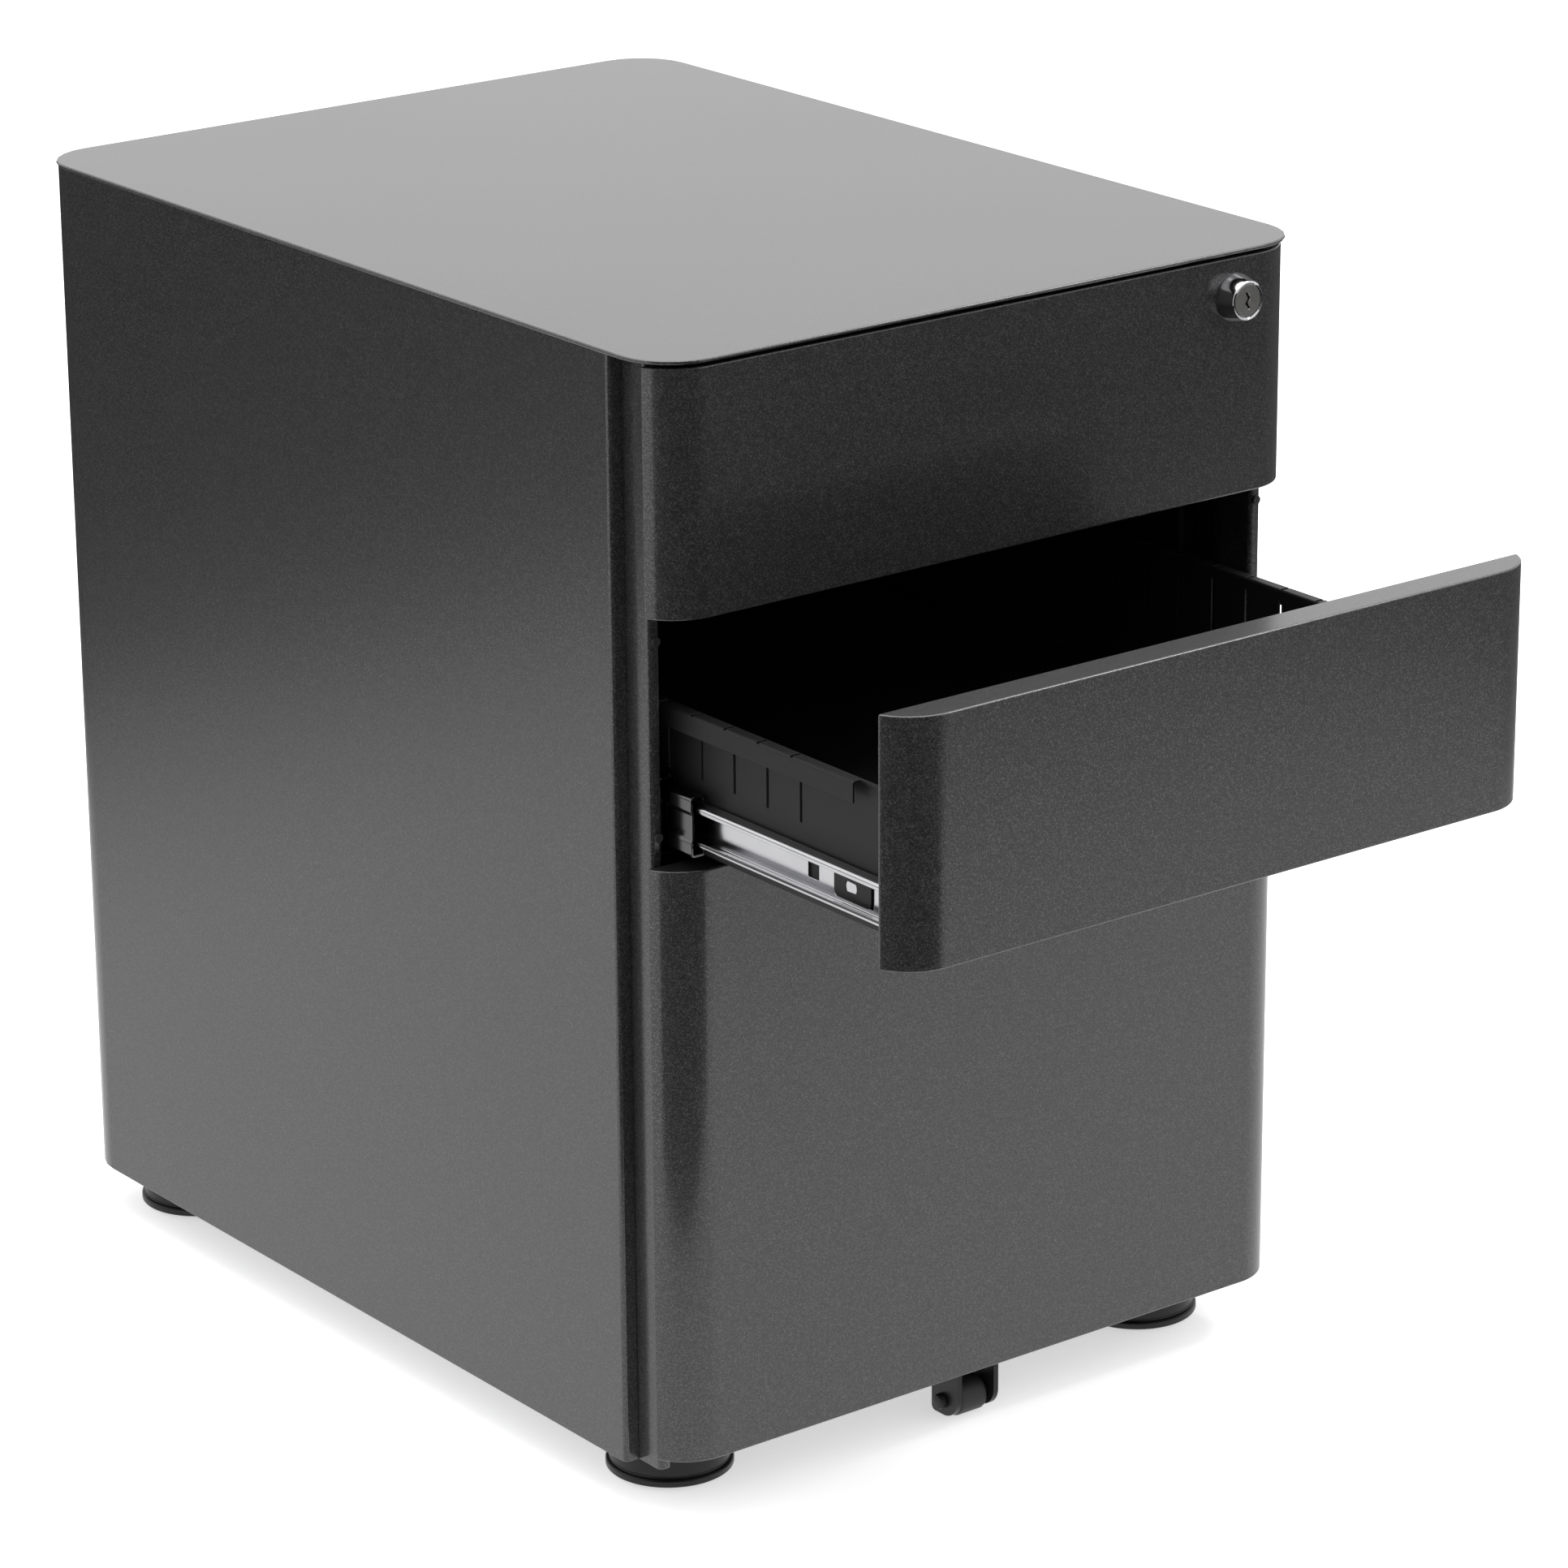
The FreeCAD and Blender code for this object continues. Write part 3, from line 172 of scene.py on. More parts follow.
def sweep_points(section, stations, along):
    """Grid of a section (a, b) repeated at stations along an axis: section point i at
    station s is (s, a, b), (a, s, b) or (a, b, s)."""
    rows, cols = len(section), len(stations)
    a, s = np.meshgrid(section[:, 0], stations, indexing="ij")
    b = np.repeat(section[:, 1][:, None], cols, 1)
    order = {"x": (s, a, b), "y": (a, s, b), "z": (a, b, s)}[along]
    return np.stack(order, -1).reshape(rows * cols, 3)


def folded(name, line, thick, stations, along, nodes, gone=None, bevel=0.2):
    """Bent sheet: a line carried along an axis, as two skins half the thickness to either
    side of it. Cells whose middle (a, b, s) is in gone are left out, and every edge between
    a kept cell and a missing one is closed by a wall across the thickness."""
    stations = np.asarray(stations, float)
    n, m = len(line), len(stations)
    points = np.vstack([sweep_points(moved(line, side * thick / 2), stations, along) for side in (1, -1)])
    mids, steps = (line[1:] + line[:-1]) / 2, (stations[1:] + stations[:-1]) / 2
    kept = np.ones((n - 1, m - 1), bool)
    if gone is not None:
        kept &= ~gone(mids[:, 0][:, None], mids[:, 1][:, None], steps[None, :])
    cells = quads(n, m)[kept.ravel()]
    number = np.arange(n * m).reshape(n, m)
    around = np.pad(kept, 1)
    walls = []
    for inside, outside, first, last in (
            (around[1:, 1:-1], around[:-1, 1:-1], number[:, :-1], number[:, 1:]),
            (around[:-1, 1:-1], around[1:, 1:-1], number[:, 1:], number[:, :-1]),
            (around[1:-1, :-1], around[1:-1, 1:], number[:-1, :], number[1:, :]),
            (around[1:-1, 1:], around[1:-1, :-1], number[1:, :], number[:-1, :])):
        edge = inside & ~outside
        p, q = first[edge], last[edge]
        walls.append(np.stack([p, q, q + n * m, p + n * m], 1))
    faces = [cells, cells[:, ::-1] + n * m, np.concatenate(walls)]
    return solid(name, points, faces, nodes, bevel=bevel)


def slab(name, loop, low, high, edge, nodes, bevel=0):
    """Plate with rolled edges: the loop at heights that follow a quarter circle, moved in
    by edge * (1 - cos t) while it rises edge * sin t, with a flat cap above and below."""
    angles = np.linspace(0, math.pi / 2, 6)
    insets = edge * (1 - np.cos(angles))
    rises = edge * np.sin(angles)
    levels = np.concatenate([low + edge - rises[::-1], high - edge + rises])
    shifts = np.concatenate([insets[::-1], insets])
    rings = [np.column_stack([moved(loop, shift, closed=True), np.full(len(loop), level)])
             for shift, level in zip(shifts, levels)]
    count = len(loop)
    first = np.arange(count)
    faces = [quads(len(rings), count, wrap_cols=True)[:, ::-1], first[None, ::-1],
             (first + (len(rings) - 1) * count)[None]]
    return solid(name, np.vstack(rings), faces, nodes, flat=(1, 2), bevel=bevel, sharp=50)


def turned(name, profile, centre, axis, nodes, steps=72, ring=False, bevel=0.15):
    """Profile (radius, height) turned about an axis through a centre: point (i, j) is at
    radius * cos(j), radius * sin(j) across the axis. A ring's profile closes on itself."""
    profile = np.asarray(profile, float)
    angles = np.linspace(0, 2 * math.pi, steps, endpoint=False)
    u = profile[:, 0][:, None] * np.cos(angles)
    v = profile[:, 0][:, None] * np.sin(angles)
    w = np.repeat(profile[:, 1][:, None], steps, 1)
    order = {"x": (w, u, v), "y": (v, w, u), "z": (u, v, w)}[axis]
    points = np.stack(order, -1).reshape(-1, 3) + np.asarray(centre, float)
    faces = [quads(len(profile), steps, wrap_rows=ring, wrap_cols=True)]
    if not ring:
        first = np.arange(steps)
        faces += [first[None], (first + (len(profile) - 1) * steps)[None, ::-1]]
    return solid(name, points, faces, nodes, bevel=bevel)


# ---- finishes ----

class Reading:
    """One number on a surface. Arithmetic on it adds Math nodes."""

    def __init__(self, finish, socket):
        self.finish = finish
        self.socket = socket

    def maths(self, operation, first, second=0.0):
        return self.finish.node("ShaderNodeMath", {0: first, 1: second}, operation=operation)

    def __add__(self, other):
        return self.maths("ADD", self, other)

    def __sub__(self, other):
        return self.maths("SUBTRACT", self, other)

    def __rsub__(self, other):
        return self.maths("SUBTRACT", other, self)

    def __mul__(self, other):
        return self.maths("MULTIPLY", self, other)

    def __pow__(self, other):
        return self.maths("POWER", self, other)

    __radd__ = __add__
    __rmul__ = __mul__


class Finish:
    """A material whose nodes are added by name."""

    def __init__(self, name):
        self.material = bpy.data.materials.new(name)
        self.material.use_nodes = True
        self.tree = self.material.node_tree
        self.shader = self.tree.nodes["Principled BSDF"]
        self.place = self.node("ShaderNodeTexCoord", {}, out="Object")

    def node(self, kind, sockets, out=0, stops=None, **settings):
        made = self.tree.nodes.new(kind)
        for key, value in settings.items():
            setattr(made, key, value)
        if stops:
            ramp = made.color_ramp.elements
            ramp[0].position, ramp[0].color = stops[0]
            ramp[1].position, ramp[1].color = stops[-1]
            for position, colour in stops[1:-1]:
                ramp.new(position).color = colour
        self.set(made, sockets)
        return Reading(self, made.outputs[out])

    def set(self, made, sockets):
        for key, value in sockets.items():
            if isinstance(value, Reading):
                self.tree.links.new(value.socket, made.inputs[key])
            else:
                made.inputs[key].default_value = value

    def noise(self, scale, detail=2.0, stretch=(1, 1, 1)):
        where = self.node("ShaderNodeMapping", {"Vector": self.place, "Scale": stretch})
        return self.node("ShaderNodeTexNoise", {"Vector": where, "Scale": scale, "Detail": detail})

    def flakes(self, scale):
        return self.node("ShaderNodeTexVoronoi", {"Vector": self.place, "Scale": scale}, out="Color")

    def mix(self, share, first, second):
        return self.node("ShaderNodeMix", {0: share, 6: first, 7: second}, out=2, data_type="RGBA")

    def bump(self, height, distance, strength=1.0):
        return self.node("ShaderNodeBump", {"Height": height, "Distance": distance, "Strength": strength},
                         out="Normal")

    def done(self, **sockets):
        self.set(self.shader, {key.replace("_", " "): value for key, value in sockets.items()})
        return self.material


def grey(level, blue=1.0):
    return (level, level, level * blue, 1)


def metallic_paint():
    """Charcoal enamel with fine bright flakes under a clear coat."""
    finish = Finish("charcoal_metallic_paint")
    cell = finish.node("ShaderNodeSeparateColor", {"Color": finish.flakes(2100)})
    bright = cell ** 3
    cloud = finish.noise(5, 2)
    peel = finish.noise(420, 2)
    colour = finish.mix(bright, (0.011, 0.0105, 0.0115, 1), (0.085, 0.081, 0.085, 1))
    return finish.done(Base_Color=finish.mix(cloud * 0.3, colour, (0.02, 0.0195, 0.021, 1)),
                       Metallic=0.45, Roughness=cloud * 0.05 + bright * 0.1 + 0.4,
                       Coat_Weight=1.0, Coat_Roughness=0.17, Coat_IOR=1.62,
                       Normal=finish.bump(peel + cell * 0.4, 0.00004, 0.2))


def tray_paint():
    """Black powder coat with a fine stipple."""
    finish = Finish("black_powder_coat")
    grain = finish.noise(1500, 3)
    cloud = finish.noise(14, 3)
    return finish.done(Base_Color=finish.mix(cloud, grey(0.005), grey(0.011)),
                       Roughness=cloud * 0.12 + 0.4, Specular_IOR_Level=0.38,
                       Normal=finish.bump(grain, 0.00005, 0.4))


def zinc(name="bright_zinc_plate", painted_shade_scale=1.0):
    """Zinc plate, bright, or with its colour scaled down as painted shade."""
    finish = Finish(name)
    spots = finish.noise(35, 2)
    dark, light = grey(0.62 * painted_shade_scale, 1.03), grey(0.76 * painted_shade_scale, 1.02)
    return finish.done(Base_Color=finish.mix(spots, dark, light), Metallic=1.0,
                       Roughness=spots * 0.07 + 0.14)


def chrome():
    """Polished chrome with a trace of handling."""
    finish = Finish("polished_chrome")
    smear = finish.noise(140, 4)
    return finish.done(Base_Color=finish.mix(smear, (0.62, 0.62, 0.64, 1), (0.74, 0.74, 0.76, 1)),
                       Metallic=1.0, Roughness=smear * 0.08 + 0.04)


def lock_metal():
    """Satin nickel, a little uneven."""
    finish = Finish("satin_nickel")
    fine = finish.noise(260, 2)
    return finish.done(Base_Color=finish.mix(fine, (0.36, 0.355, 0.34, 1), (0.5, 0.495, 0.48, 1)),
                       Metallic=1.0, Roughness=fine * 0.04 + 0.32)


def moulded_plastic():
    """Black nylon with a moulded grain and a soft sheen."""
    finish = Finish("black_moulded_plastic")
    grain = finish.noise(1100, 2)
    cloud = finish.noise(30, 2)
    return finish.done(Base_Color=finish.mix(cloud, grey(0.004), grey(0.009)),
                       Roughness=cloud * 0.15 + 0.3, Specular_IOR_Level=0.35,
                       Normal=finish.bump(grain, 0.00004, 0.35))


def tread_rubber():
    """Dark grey tread, dull, with a little dust."""
    finish = Finish("dark_tread")
    grain = finish.noise(700, 3)
    dust = finish.noise(45, 3)
    return finish.done(Base_Color=finish.mix(dust, grey(0.008), grey(0.02)),
                       Roughness=dust * 0.2 + 0.42, Specular_IOR_Level=0.4,
                       Normal=finish.bump(grain, 0.00005, 0.35))


# Zinc at 0.22 of its colour: painted shade for the slide members that sit in the dark inside the cabinet.
ZINC_WITH_PAINTED_SHADE = zinc("zinc_plate_painted_shade", 0.22)
FINISHES = {
    "charcoal_paint": metallic_paint(),
    "dark_paint": tray_paint(),
    "zinc": zinc(),
    "chrome": chrome(),
    "lock_metal": lock_metal(),
    "black_plastic": moulded_plastic(),
    "wheel_rubber": tread_rubber(),
}


# ---- camera, floor and light ----

def add_camera():
    """Long lens at a distance from the aim: turned about Z, raised, then rolled."""
    turn, rise, roll = (math.radians(angle) for angle in (-37.4615, 19.0346, -0.4122))
    aim = Vector((0.08026, 0.086, 0.25261))
    away = 3.2068
    back = Vector((math.sin(turn) * math.cos(rise), -math.cos(turn) * math.cos(rise), math.sin(rise)))
    right = Vector((0, 0, 1)).cross(back).normalized()
    up = back.cross(right)
    right, up = (right * math.cos(roll) + up * math.sin(roll),
                 up * math.cos(roll) - right * math.sin(roll))
    camera = bpy.data.objects.new("camera", bpy.data.cameras.new("camera"))
    camera.data.lens = 138.75
    camera.data.sensor_width = 36
    camera.data.clip_end = 60
    camera.matrix_world = Matrix((right, up, back)).transposed().to_4x4()
    camera.location = aim + back * away
    bpy.context.scene.collection.objects.link(camera)
    bpy.context.scene.camera = camera


EVERY_RAY = ("camera", "diffuse", "glossy", "transmission", "volume_scatter", "shadow")
GLOSS_ONLY = ("glossy",)


def add_panel(name, corners, colour, strength, rays):
    """Flat stage panel through four corners, seen only by the kinds of ray listed. Its
    colour is one grey, or stops of grey along the panel's own x and y."""
    mesh = bpy.data.meshes.new(name)
    mesh.from_pydata(corners, [], [(0, 1, 2, 3)])
    panel = bpy.data.objects.new(name, mesh)
    bpy.context.scene.collection.objects.link(panel)
    finish = Finish(name)
    if isinstance(colour, dict):
        place = {}
        for axis, stops in colour.items():
            along = finish.node("ShaderNodeSeparateXYZ", {0: finish.place}, out=axis)
            reach = finish.node("ShaderNodeMapRange", {0: along, 1: -STAGE_REACH, 2: STAGE_REACH})
            marks = [((spot + STAGE_REACH) / STAGE_REACH / 2, grey(level)) for spot, level in stops]
            place[axis] = finish.node("ShaderNodeValToRGB", {0: reach}, stops=marks)
        colour = finish.node("ShaderNodeMix", {0: 1.0, 6: place["X"], 7: place["Y"]}, out=2,
                             data_type="RGBA", blend_type="MULTIPLY")
    else:
        colour = grey(colour)
    mesh.materials.append(finish.done(Base_Color=colour, Emission_Color=colour,
                                      Emission_Strength=strength, Roughness=0.8,
                                      Specular_IOR_Level=0.0))
    for kind in EVERY_RAY:
        setattr(panel, "visible_" + kind, kind in rays)
    return panel


def add_light(name, place, aim, size, power):
    """Soft rectangular light that faces its aim."""
    lamp = bpy.data.lights.new(name, "AREA")
    lamp.shape = "RECTANGLE"
    lamp.size, lamp.size_y = size
    lamp.energy = power
    holder = bpy.data.objects.new(name, lamp)
    holder.location = place
    holder.rotation_euler = (Vector(aim) - Vector(place)).to_track_quat("-Z", "Y").to_euler()
    bpy.context.scene.collection.objects.link(holder)
    return holder


STAGE_REACH = 2.5


def add_stage():
    """White floor and sky and soft lights. Reflections see a floor of their own, white near
    the cabinet and dark further off, and a dark card across the near left corner."""
    floor = [(-30, -30, 0), (30, -30, 0), (30, 30, 0), (-30, 30, 0)]
    add_panel("floor", floor, 0.92, 0.6, ("camera", "diffuse", "transmission", "volume_scatter", "shadow"))
    add_panel("floor_in_gloss", floor,
              {"X": [(-2.4, 1.0), (0.9, 1.0), (1.25, 0.25), (1.6, 0.12), (2.4, 0.1)],
               "Y": [(-2.2, 0.02), (-1.75, 0.03), (-1.45, 0.15), (-1.15, 0.34), (-0.5, 0.44), (0.7, 0.42),
                     (0.85, 0.37), (1.03, 0.24), (1.2, 0.09), (1.45, 0.03), (2.2, 0.015)]},
              0.58, GLOSS_ONLY)
    add_panel("corner_card", [(-0.62, -0.3, 0.0), (0.0, -0.75, 0.0), (0.0, -0.75, 1.0), (-0.62, -0.3, 1.0)],
              0.02, 0, GLOSS_ONLY)
    world = bpy.data.worlds.new("studio")
    world.use_nodes = True
    sky = world.node_tree.nodes["Background"]
    sky.inputs["Color"].default_value = (1, 1, 1, 1)
    sky.inputs["Strength"].default_value = 1.0
    bpy.context.scene.world = world
    bpy.context.scene.view_settings.view_transform = "Standard"
    add_light("top_light", (0.2, 0.3, 2.6), (0, 0.1, 0.5), (2.4, 2.4), 40)
    add_light("edge_light", (1.75, -1.15, 2.55), (0, -0.3, 0.4), (0.5, 0.35), 14)


# ---- shell ----

def make_lid():
    """Plate with round corners and rolled edges."""
    low, high = span("lid")
    corners = [(low[0], low[1]), (high[0], low[1]), (high[0], high[1]), (low[0], high[1])]
    loop = rounded(corners, [30] * 4)
    slab("lid_plate", loop, low[2], high[2], 0.95, ["lid"])


def make_wrapper():
    """Both sides and the back as one bent sheet, with a narrow return at each front edge."""
    low, high = span("wrapper")
    half, front, rear = high[0] - 0.5, low[1] + 0.5, high[1] - 0.5
    inner = half - 7.5
    corners = [(-inner, front), (-half, front), (-half, rear), (half, rear), (half, front), (inner, front)]
    line = bent(corners, [0, 2, 28.5, 28.5, 2, 0])
    folded("wrapped_side_panels", line, 1, [low[2], low[2] + 60, high[2]], "z", ["wrapper"], bevel=0.3)


def make_stiles():
    """Channels that line the finger recesses, as whole sheets: the windows that the lock
    bar's tabs pass through in the right one are left out here."""
    for side, node in ((-1, "left_stile"), (1, "right_stile")):
        low, high = span(node)
        far, near = max(abs(low[0]), abs(high[0])), min(abs(low[0]), abs(high[0]))
        outer, inner = side * (far - 0.5), side * (near + 0.5)
        face = low[1] + 0.5
        corners = [(outer, high[1] - 0.5), (outer, face), (inner, face), (inner, face + 22)]
        line = bent(corners, [0, 2, 2, 0])
        folded(f"{node}_channel", line, 1, [low[2], high[2]], "z", [node], bevel=0.25)


# ---- drawers ----

def front_loop(low, high):
    """Plan of a drawer front: flat face, ends that follow circles 28 round, small round at
    each rear tip, and a straight rear."""
    radius, core = 28.0, low[1] + 28.0
    centre = 169.0
    drop = core - high[1]
    reach = math.sqrt(radius ** 2 - drop ** 2)
    sweep = np.linspace(0, math.asin(reach / radius), 14)[:-1]
    right = np.column_stack([centre + radius * np.sin(sweep), core - radius * np.cos(sweep)])
    tip = bent([right[-1], (centre + reach, high[1]), (centre + reach - 8, high[1])], [0, 1.1, 0])[1:]
    half = np.vstack([right, tip])
    mirror = half[::-1] * [-1, 1]
    return np.vstack([half, mirror])


def make_fronts():
    """Plates on the front's plan, 0.3 short of the node's rear, with rolled edges."""
    for drawer in DRAWERS:
        low, high = span(f"{drawer}_front")
        rear = high.copy()
        rear[1] -= 0.3
        slab(f"{drawer}_drawer_front", front_loop(low, rear), low[2], high[2], 1.0, [f"{drawer}_front"])


def tray_line(foot, head, wall, hem):
    """Section of a tray from one hem to the other: hem's lower edge, its top, the wall,
    the floor and the same mirrored. Points on the wall mark the slots' ends."""
    left = [(-hem, head - 10.0, 0), (-hem, head, 1.2), (-(hem - 1.6), head, 0), (-(wall + 2.2), head, 0),
            (-wall, head, 0.8), (-wall, head - 5.5, 0), (-wall, foot + 37, 0), (-wall, foot, 1.6)]
    right = [(-a, b, r) for a, b, r in left[::-1]]
    table = np.array(left + right)
    return bent(table[:, :2], table[:, 2])


def make_trays():
    """Trays folded from one sheet, with a row of slots down each wall and through its top,
    a hem that starts behind the front, and a back of its own."""
    for drawer in DRAWERS:
        low, high = span(f"{drawer}_tray")
        wall, hem = high[0] - 6.5, high[0] - 0.5
        foot, head = low[2] + 0.5, high[2] - 0.5
        start, end = low[1], high[1]
        first_slot, pitch, slot_wide, hem_start = start + 86, 25.2, 1.8, start + 41
        slots = first_slot + pitch * np.arange(14)
        stations = np.sort(np.concatenate([[start, hem_start, end], slots, slots + slot_wide]))

        def gone(a, b, s):
            in_slot = (((s - first_slot) % pitch) < slot_wide) & (s > start + 80) & (s < end - 30)
            on_wall = (abs(abs(a) - wall) < 0.3) & (b > foot + 37) & (b < head - 5.5)
            on_top = (b > head - 1.5) & (abs(a) > wall + 0.4) & (abs(a) < hem - 0.2)
            on_hem = (abs(a) > wall + 2.2) & (b > head - 12)
            return (in_slot & (on_wall | on_top)) | (on_hem & (s < hem_start))

        folded(f"{drawer}_tray_sheet", tray_line(foot, head, wall, hem), 1, stations, "y",
               [f"{drawer}_tray"], gone)
        back_line = bent([(end - 0.5, foot + 0.5), (end - 0.5, head - 8), (end - 6, head - 8)], [0, 1.2, 0])
        folded(f"{drawer}_tray_back", back_line, 1, [-wall + 0.4, wall - 0.4], "x", [f"{drawer}_tray"])


def rail_line(kind, side, level):
    """Section of a slide member, in millimetres about its level."""
    sections = {
        "cabinet": [(173.3, 14.6, 0), (172.9, 18.4, 1.3), (182.4, 18.4, 1.6), (182.4, 10.5, 1),
                    (181.3, 8.5, 1), (181.3, -8.5, 1), (182.4, -10.5, 1), (182.4, -18.4, 1.6),
                    (172.9, -18.4, 1.3), (173.3, -14.6, 0)],
        "middle": [(173.2, 11.6, 0), (172.7, 14.4, 1.2), (180.0, 14.4, 1.5), (180.0, 8, 1),
                   (179.3, 6, 1), (179.3, -6, 1), (180.0, -8, 1), (180.0, -14.4, 1.5),
                   (172.7, -14.4, 1.2), (173.2, -11.6, 0)],
        "drawer": [(177.0, 7.2, 0), (177.6, 9.9, 1.2), (170.6, 9.9, 1.4), (170.6, 7.0, 0), (170.6, 4.0, 0),
                   (170.6, -4.0, 0), (170.6, -7.0, 0), (170.6, -9.9, 1.4), (177.6, -9.9, 1.2),
                   (177.0, -7.2, 0)],
    }
    table = np.array(sections[kind])
    line = bent(table[:, :2], table[:, 2])
    return line * [side, 1] + [0, level]


def make_rails():
    """Slide members along their travel. A drawer member has a window over its lever and a
    square hole behind that."""
    for drawer in DRAWERS:
        for kind in ("cabinet", "middle", "drawer"):
            node = f"{drawer}_{kind}_rails"
            low, high = span(node)
            level = (low[2] + high[2]) / 2
            start = low[1]
            stations = [start, high[1]]
            gone = None
            if kind == "drawer":
                window, square = start + 27, start + 67
                stations = [start, window, window + 28, square, square + 8, high[1]]

                def gone(a, b, s):
                    web = abs(abs(a) - 170.6) < 0.2
                    tall = (abs(b - level) < 7) & (s > window) & (s < window + 28)
                    small = (abs(b - level) < 4) & (s > square) & (s < square + 8)
                    return web & (tall | small)

            for side, word in ((-1, "left"), (1, "right")):
                piece = folded(f"{drawer}_{kind}_rail_{word}", rail_line(kind, side, level), 1.2, stations,
                               "y", [node], gone, bevel=0.2)
                if kind != "drawer":
                    # Cabinet and middle members take the darkened zinc, which is painted shade.
                    piece.data.materials[0] = ZINC_WITH_PAINTED_SHADE


def make_levers():
    """Release levers: a rounded plate with a round hole, as one ring surface whose rows run
    outline, hole, hole on the far side, outline on the far side, and a zinc pivot in it."""
    for drawer in DRAWERS:
        node = f"{drawer}_rail_levers"
        low, high = span(node)
        middle = (low + high) / 2
        for side, word in ((-1, "left"), (1, "right")):
            reach, tall = (high[1] - low[1]) / 2, (high[2] - low[2]) / 2
            outline = rounded([(-reach, -tall), (reach, -tall), (reach, tall), (-reach, tall)], [3.5] * 4)
            outline = outline + [middle[1], middle[2]]
            hub = np.array([low[1] + 14.7, middle[2]])
            way = outline - hub
            hole = hub + way / np.linalg.norm(way, axis=1)[:, None] * 4.2
            outer, inner = side * high[0], side * (high[0] - 2.2)
            rings = [np.column_stack([np.full(len(ring), x), ring])
                     for x, ring in ((outer, outline), (outer, hole), (inner, hole), (inner, outline))]
            faces = [quads(4, len(outline), wrap_rows=True, wrap_cols=True)]
            solid(f"{drawer}_lever_{word}", np.vstack(rings), faces, [node], bevel=0.3)
            pivot = [(0.4, 0.7), (3.4, 0.7), (3.9, 0.45), (3.9, -0.9), (0.4, -0.9)]
            spot = ((outer + inner) / 2, hub[0], hub[1])
            head = turned(f"{drawer}_lever_pivot_{word}", pivot, spot, "x", [node], steps=32, bevel=0.1)
            head.data.materials[0] = FINISHES["zinc"]


# ---- lock ----

def make_lock():
    """Chromed bezel, and a plug whose face is rows of points drawn in from its rim to a
    keyway that waves from side to side along its height."""
    low, high = span("lock_case")
    centre = np.array([(low[0] + high[0]) / 2, low[1], (low[2] + high[2]) / 2])
    profile = [(6.3, 38), (6.3, 2), (8.5, 2), (8.5, 0.5), (9.0, 0), (9.6, 0.15), (10.0, 0.7), (11.7, 8.2),
               (12, 9.2), (12, 10), (8, 10), (8, 38)]
    turned("lock_bezel", profile, centre, "y", ["lock_case"], steps=96, ring=True, bevel=0.1)

    angles = np.linspace(0, 2 * math.pi, 72, endpoint=False)
    across, upward = np.cos(angles), np.sin(angles)
    tall = 4.3 * upward
    sway = 0.7 * np.sin(tall * 1.25)
    flank = 0.75 * np.sign(across) * np.abs(across) ** 0.4
    slot = np.column_stack([sway + flank, tall])
    rows = []
    for radius, depth in ((6, 40), (6, 1.8), (8.2, 1.8), (8.2, 0.8), (8.0, 0.6)):
        rows.append(np.column_stack([radius * across, np.full(72, depth), radius * upward]))
    for share, depth in ((0.5, 0.56), (0.93, 0.54), (1.0, 0.7), (1.0, 12)):
        line = 8.0 * (1 - share) * np.column_stack([across, upward]) + share * slot
        rows.append(np.column_stack([line[:, 0], np.full(72, depth), line[:, 1]]))
    first = np.arange(72)
    faces = [quads(len(rows), 72, wrap_cols=True), first[None], (first + 72 * (len(rows) - 1))[None, ::-1]]
    solid("lock_plug_core", np.vstack(rows) + centre, faces, ["lock_plug"], bevel=0.08)


# ---- casters and fifth wheel ----

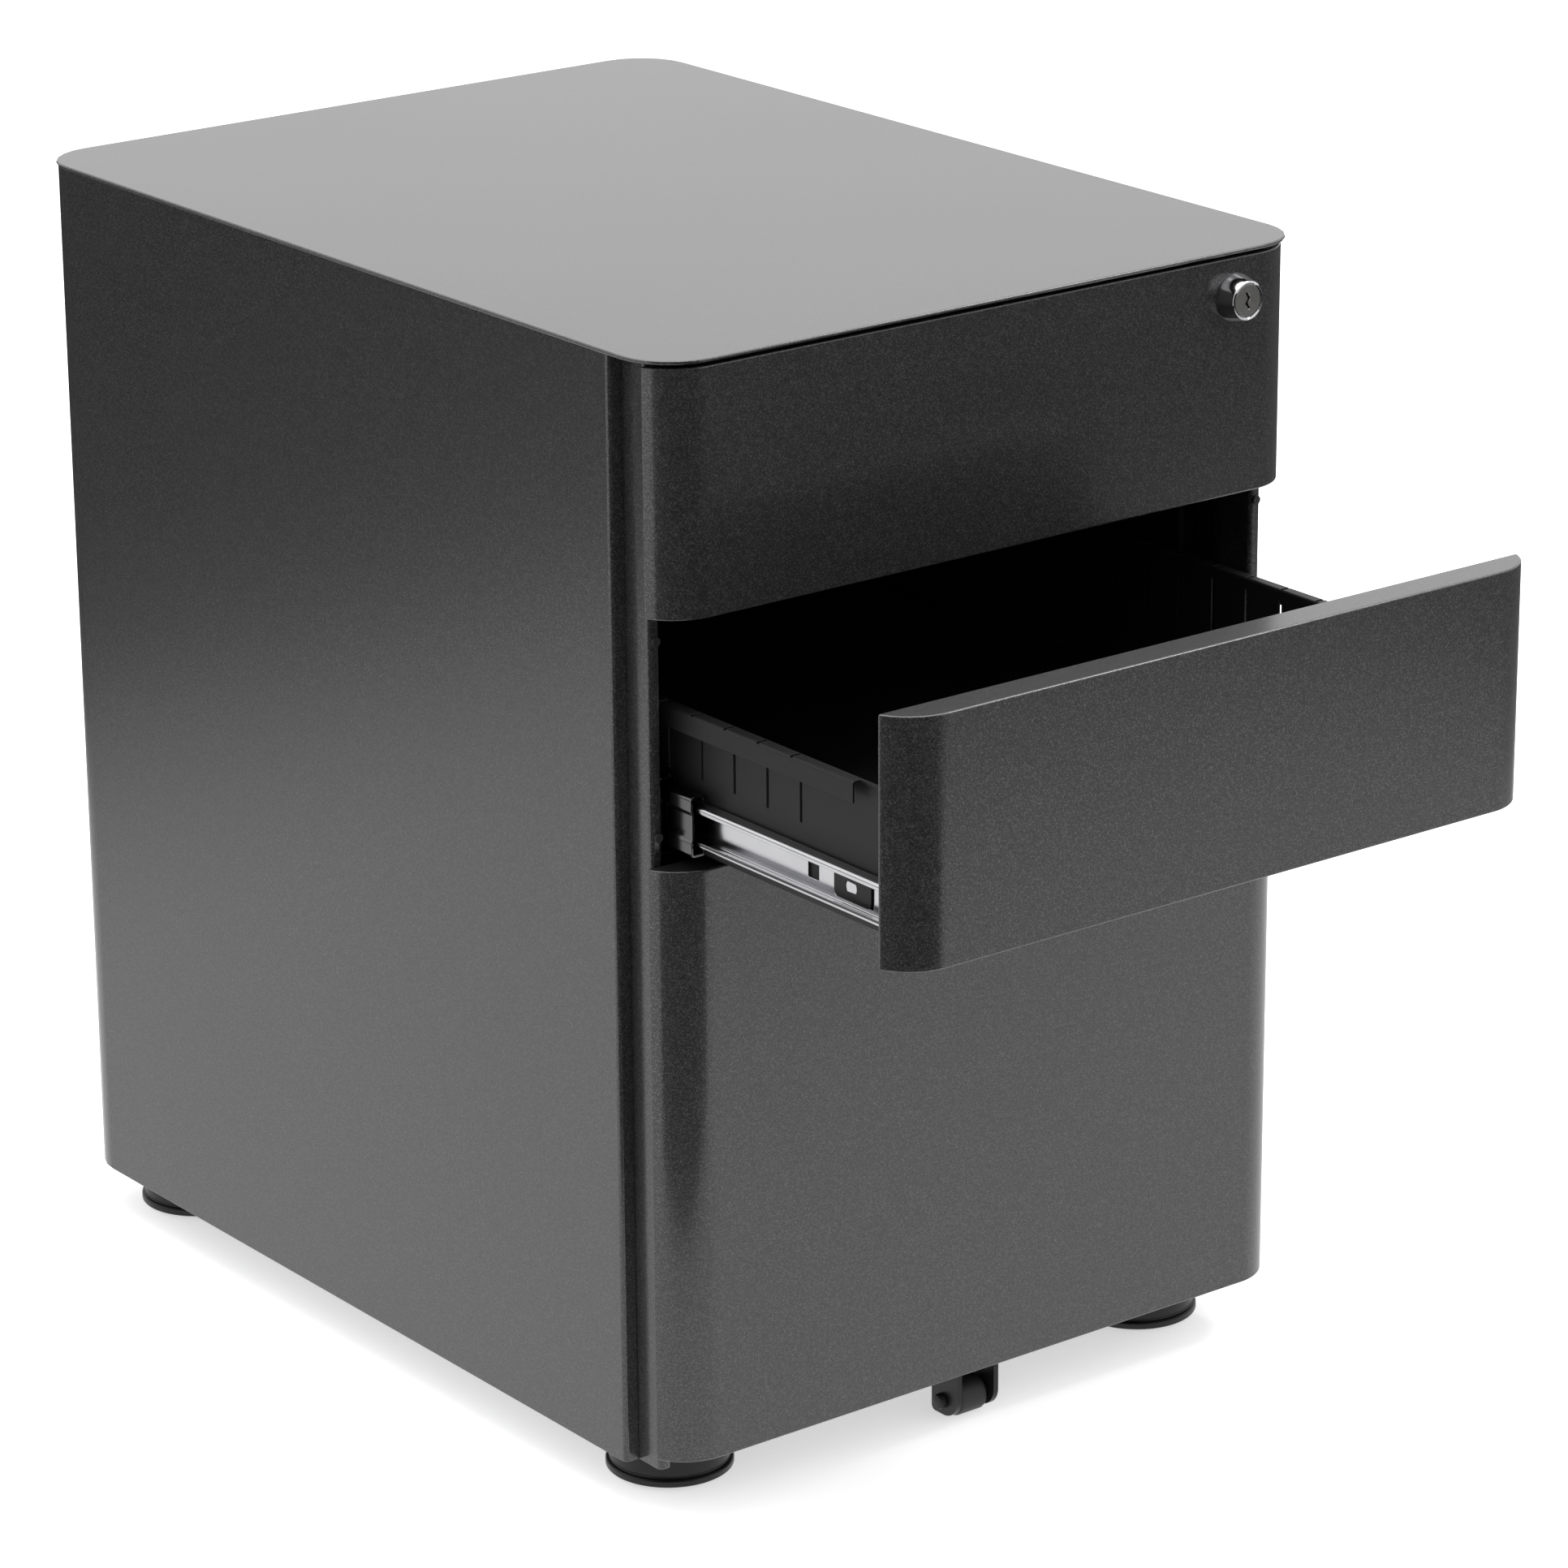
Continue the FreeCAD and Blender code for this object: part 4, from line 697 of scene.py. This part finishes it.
def make_casters():
    """Hood and stem as one profile turned about the swivel, and both wheels with their axle
    as one turned about the roll."""
    for name in CASTERS:
        hood = f"caster_hood_{name}"
        low, high = span(hood)
        centre = ((low[0] + high[0]) / 2, (low[1] + high[1]) / 2, 0)
        profile = [(0.5, 29.4), (23, 29.4), (28, 24.5), (28, 7.5), (30, 6), (30, 3), (31.4, 3), (32, 3.6),
                   (32, 6.2), (31.4, 6.9), (30.2, 7.2), (30, 7.9), (30.4, 8.6), (30.4, 26.4), (29.6, 28.6),
                   (27.6, 30.6), (24, 32.2), (22, 32.5), (5, 32.5), (5, 44), (0.5, 44)]
        turned(f"caster_cover_{name}", profile, centre, "z", [hood], steps=96, bevel=0.15)
        wheels = f"caster_wheels_{name}"
        low, high = span(wheels)
        middle = (low + high) / 2
        profile = [(0.4, -12.2), (5.5, -12.2), (6, -11.6), (9.6, -11.6), (10.4, -12.5), (12, -12.5),
                   (13.2, -11.8), (13.5, -10.6), (13.5, -4.2), (13.1, -3), (12, -2.5), (2.5, -2.5),
                   (2.5, 2.5), (12, 2.5), (13.1, 3), (13.5, 4.2), (13.5, 10.6), (13.2, 11.8), (12, 12.5),
                   (10.4, 12.5), (9.6, 11.6), (6, 11.6), (5.5, 12.2), (0.4, 12.2)]
        turned(f"caster_twin_wheels_{name}", profile, middle, "x", [wheels], steps=64, bevel=0.15)


def make_fifth_wheel():
    """Wheel on an axle whose heads stand outside the bracket's cheeks."""
    low, high = span("fifth_wheel")
    middle, radius, end = (low + high) / 2, (high[2] - low[2]) / 2, (high[0] - low[0]) / 2
    half = [(0.4, end), (2.6, end), (3.6, end - 0.4), (4, end - 1.4), (4, end - 3.5), (2.5, end - 3.5),
            (2.5, 9.5), (4.2, 9.5), (4.8, 9.0), (radius - 3.2, 9.0), (radius - 2.6, 9.5),
            (radius - 1.4, 9.1), (radius - 0.4, 8.0), (radius, 6.8)]
    profile = half + [(r, -x) for r, x in half[::-1]]
    turned("stabiliser_wheel", profile, middle, "x", ["fifth_wheel"], steps=72, bevel=0.1)


# ---- nodes that keep their own shape ----

def dress_nodes():
    """Every node still shown gets its slot's finish; its loose triangles are joined by a
    Weld modifier before its sharp edges are rounded."""
    for name, node in frame["nodes"].items():
        if node.hide_render:
            continue
        node.data.materials.clear()
        node.data.materials.append(FINISHES[SLOT_OF[name]])
        weld = node.modifiers.new("join_triangles", "WELD")
        weld.merge_threshold = 0.00001
        edge = 0 if "cages" in name else 0.2
        soften(node, edge)


add_camera()
add_stage()
make_lid()
make_wrapper()
make_stiles()
make_fronts()
make_trays()
make_rails()
make_levers()
make_lock()
make_casters()
make_fifth_wheel()
dress_nodes()

bpy.context.view_layer.update()
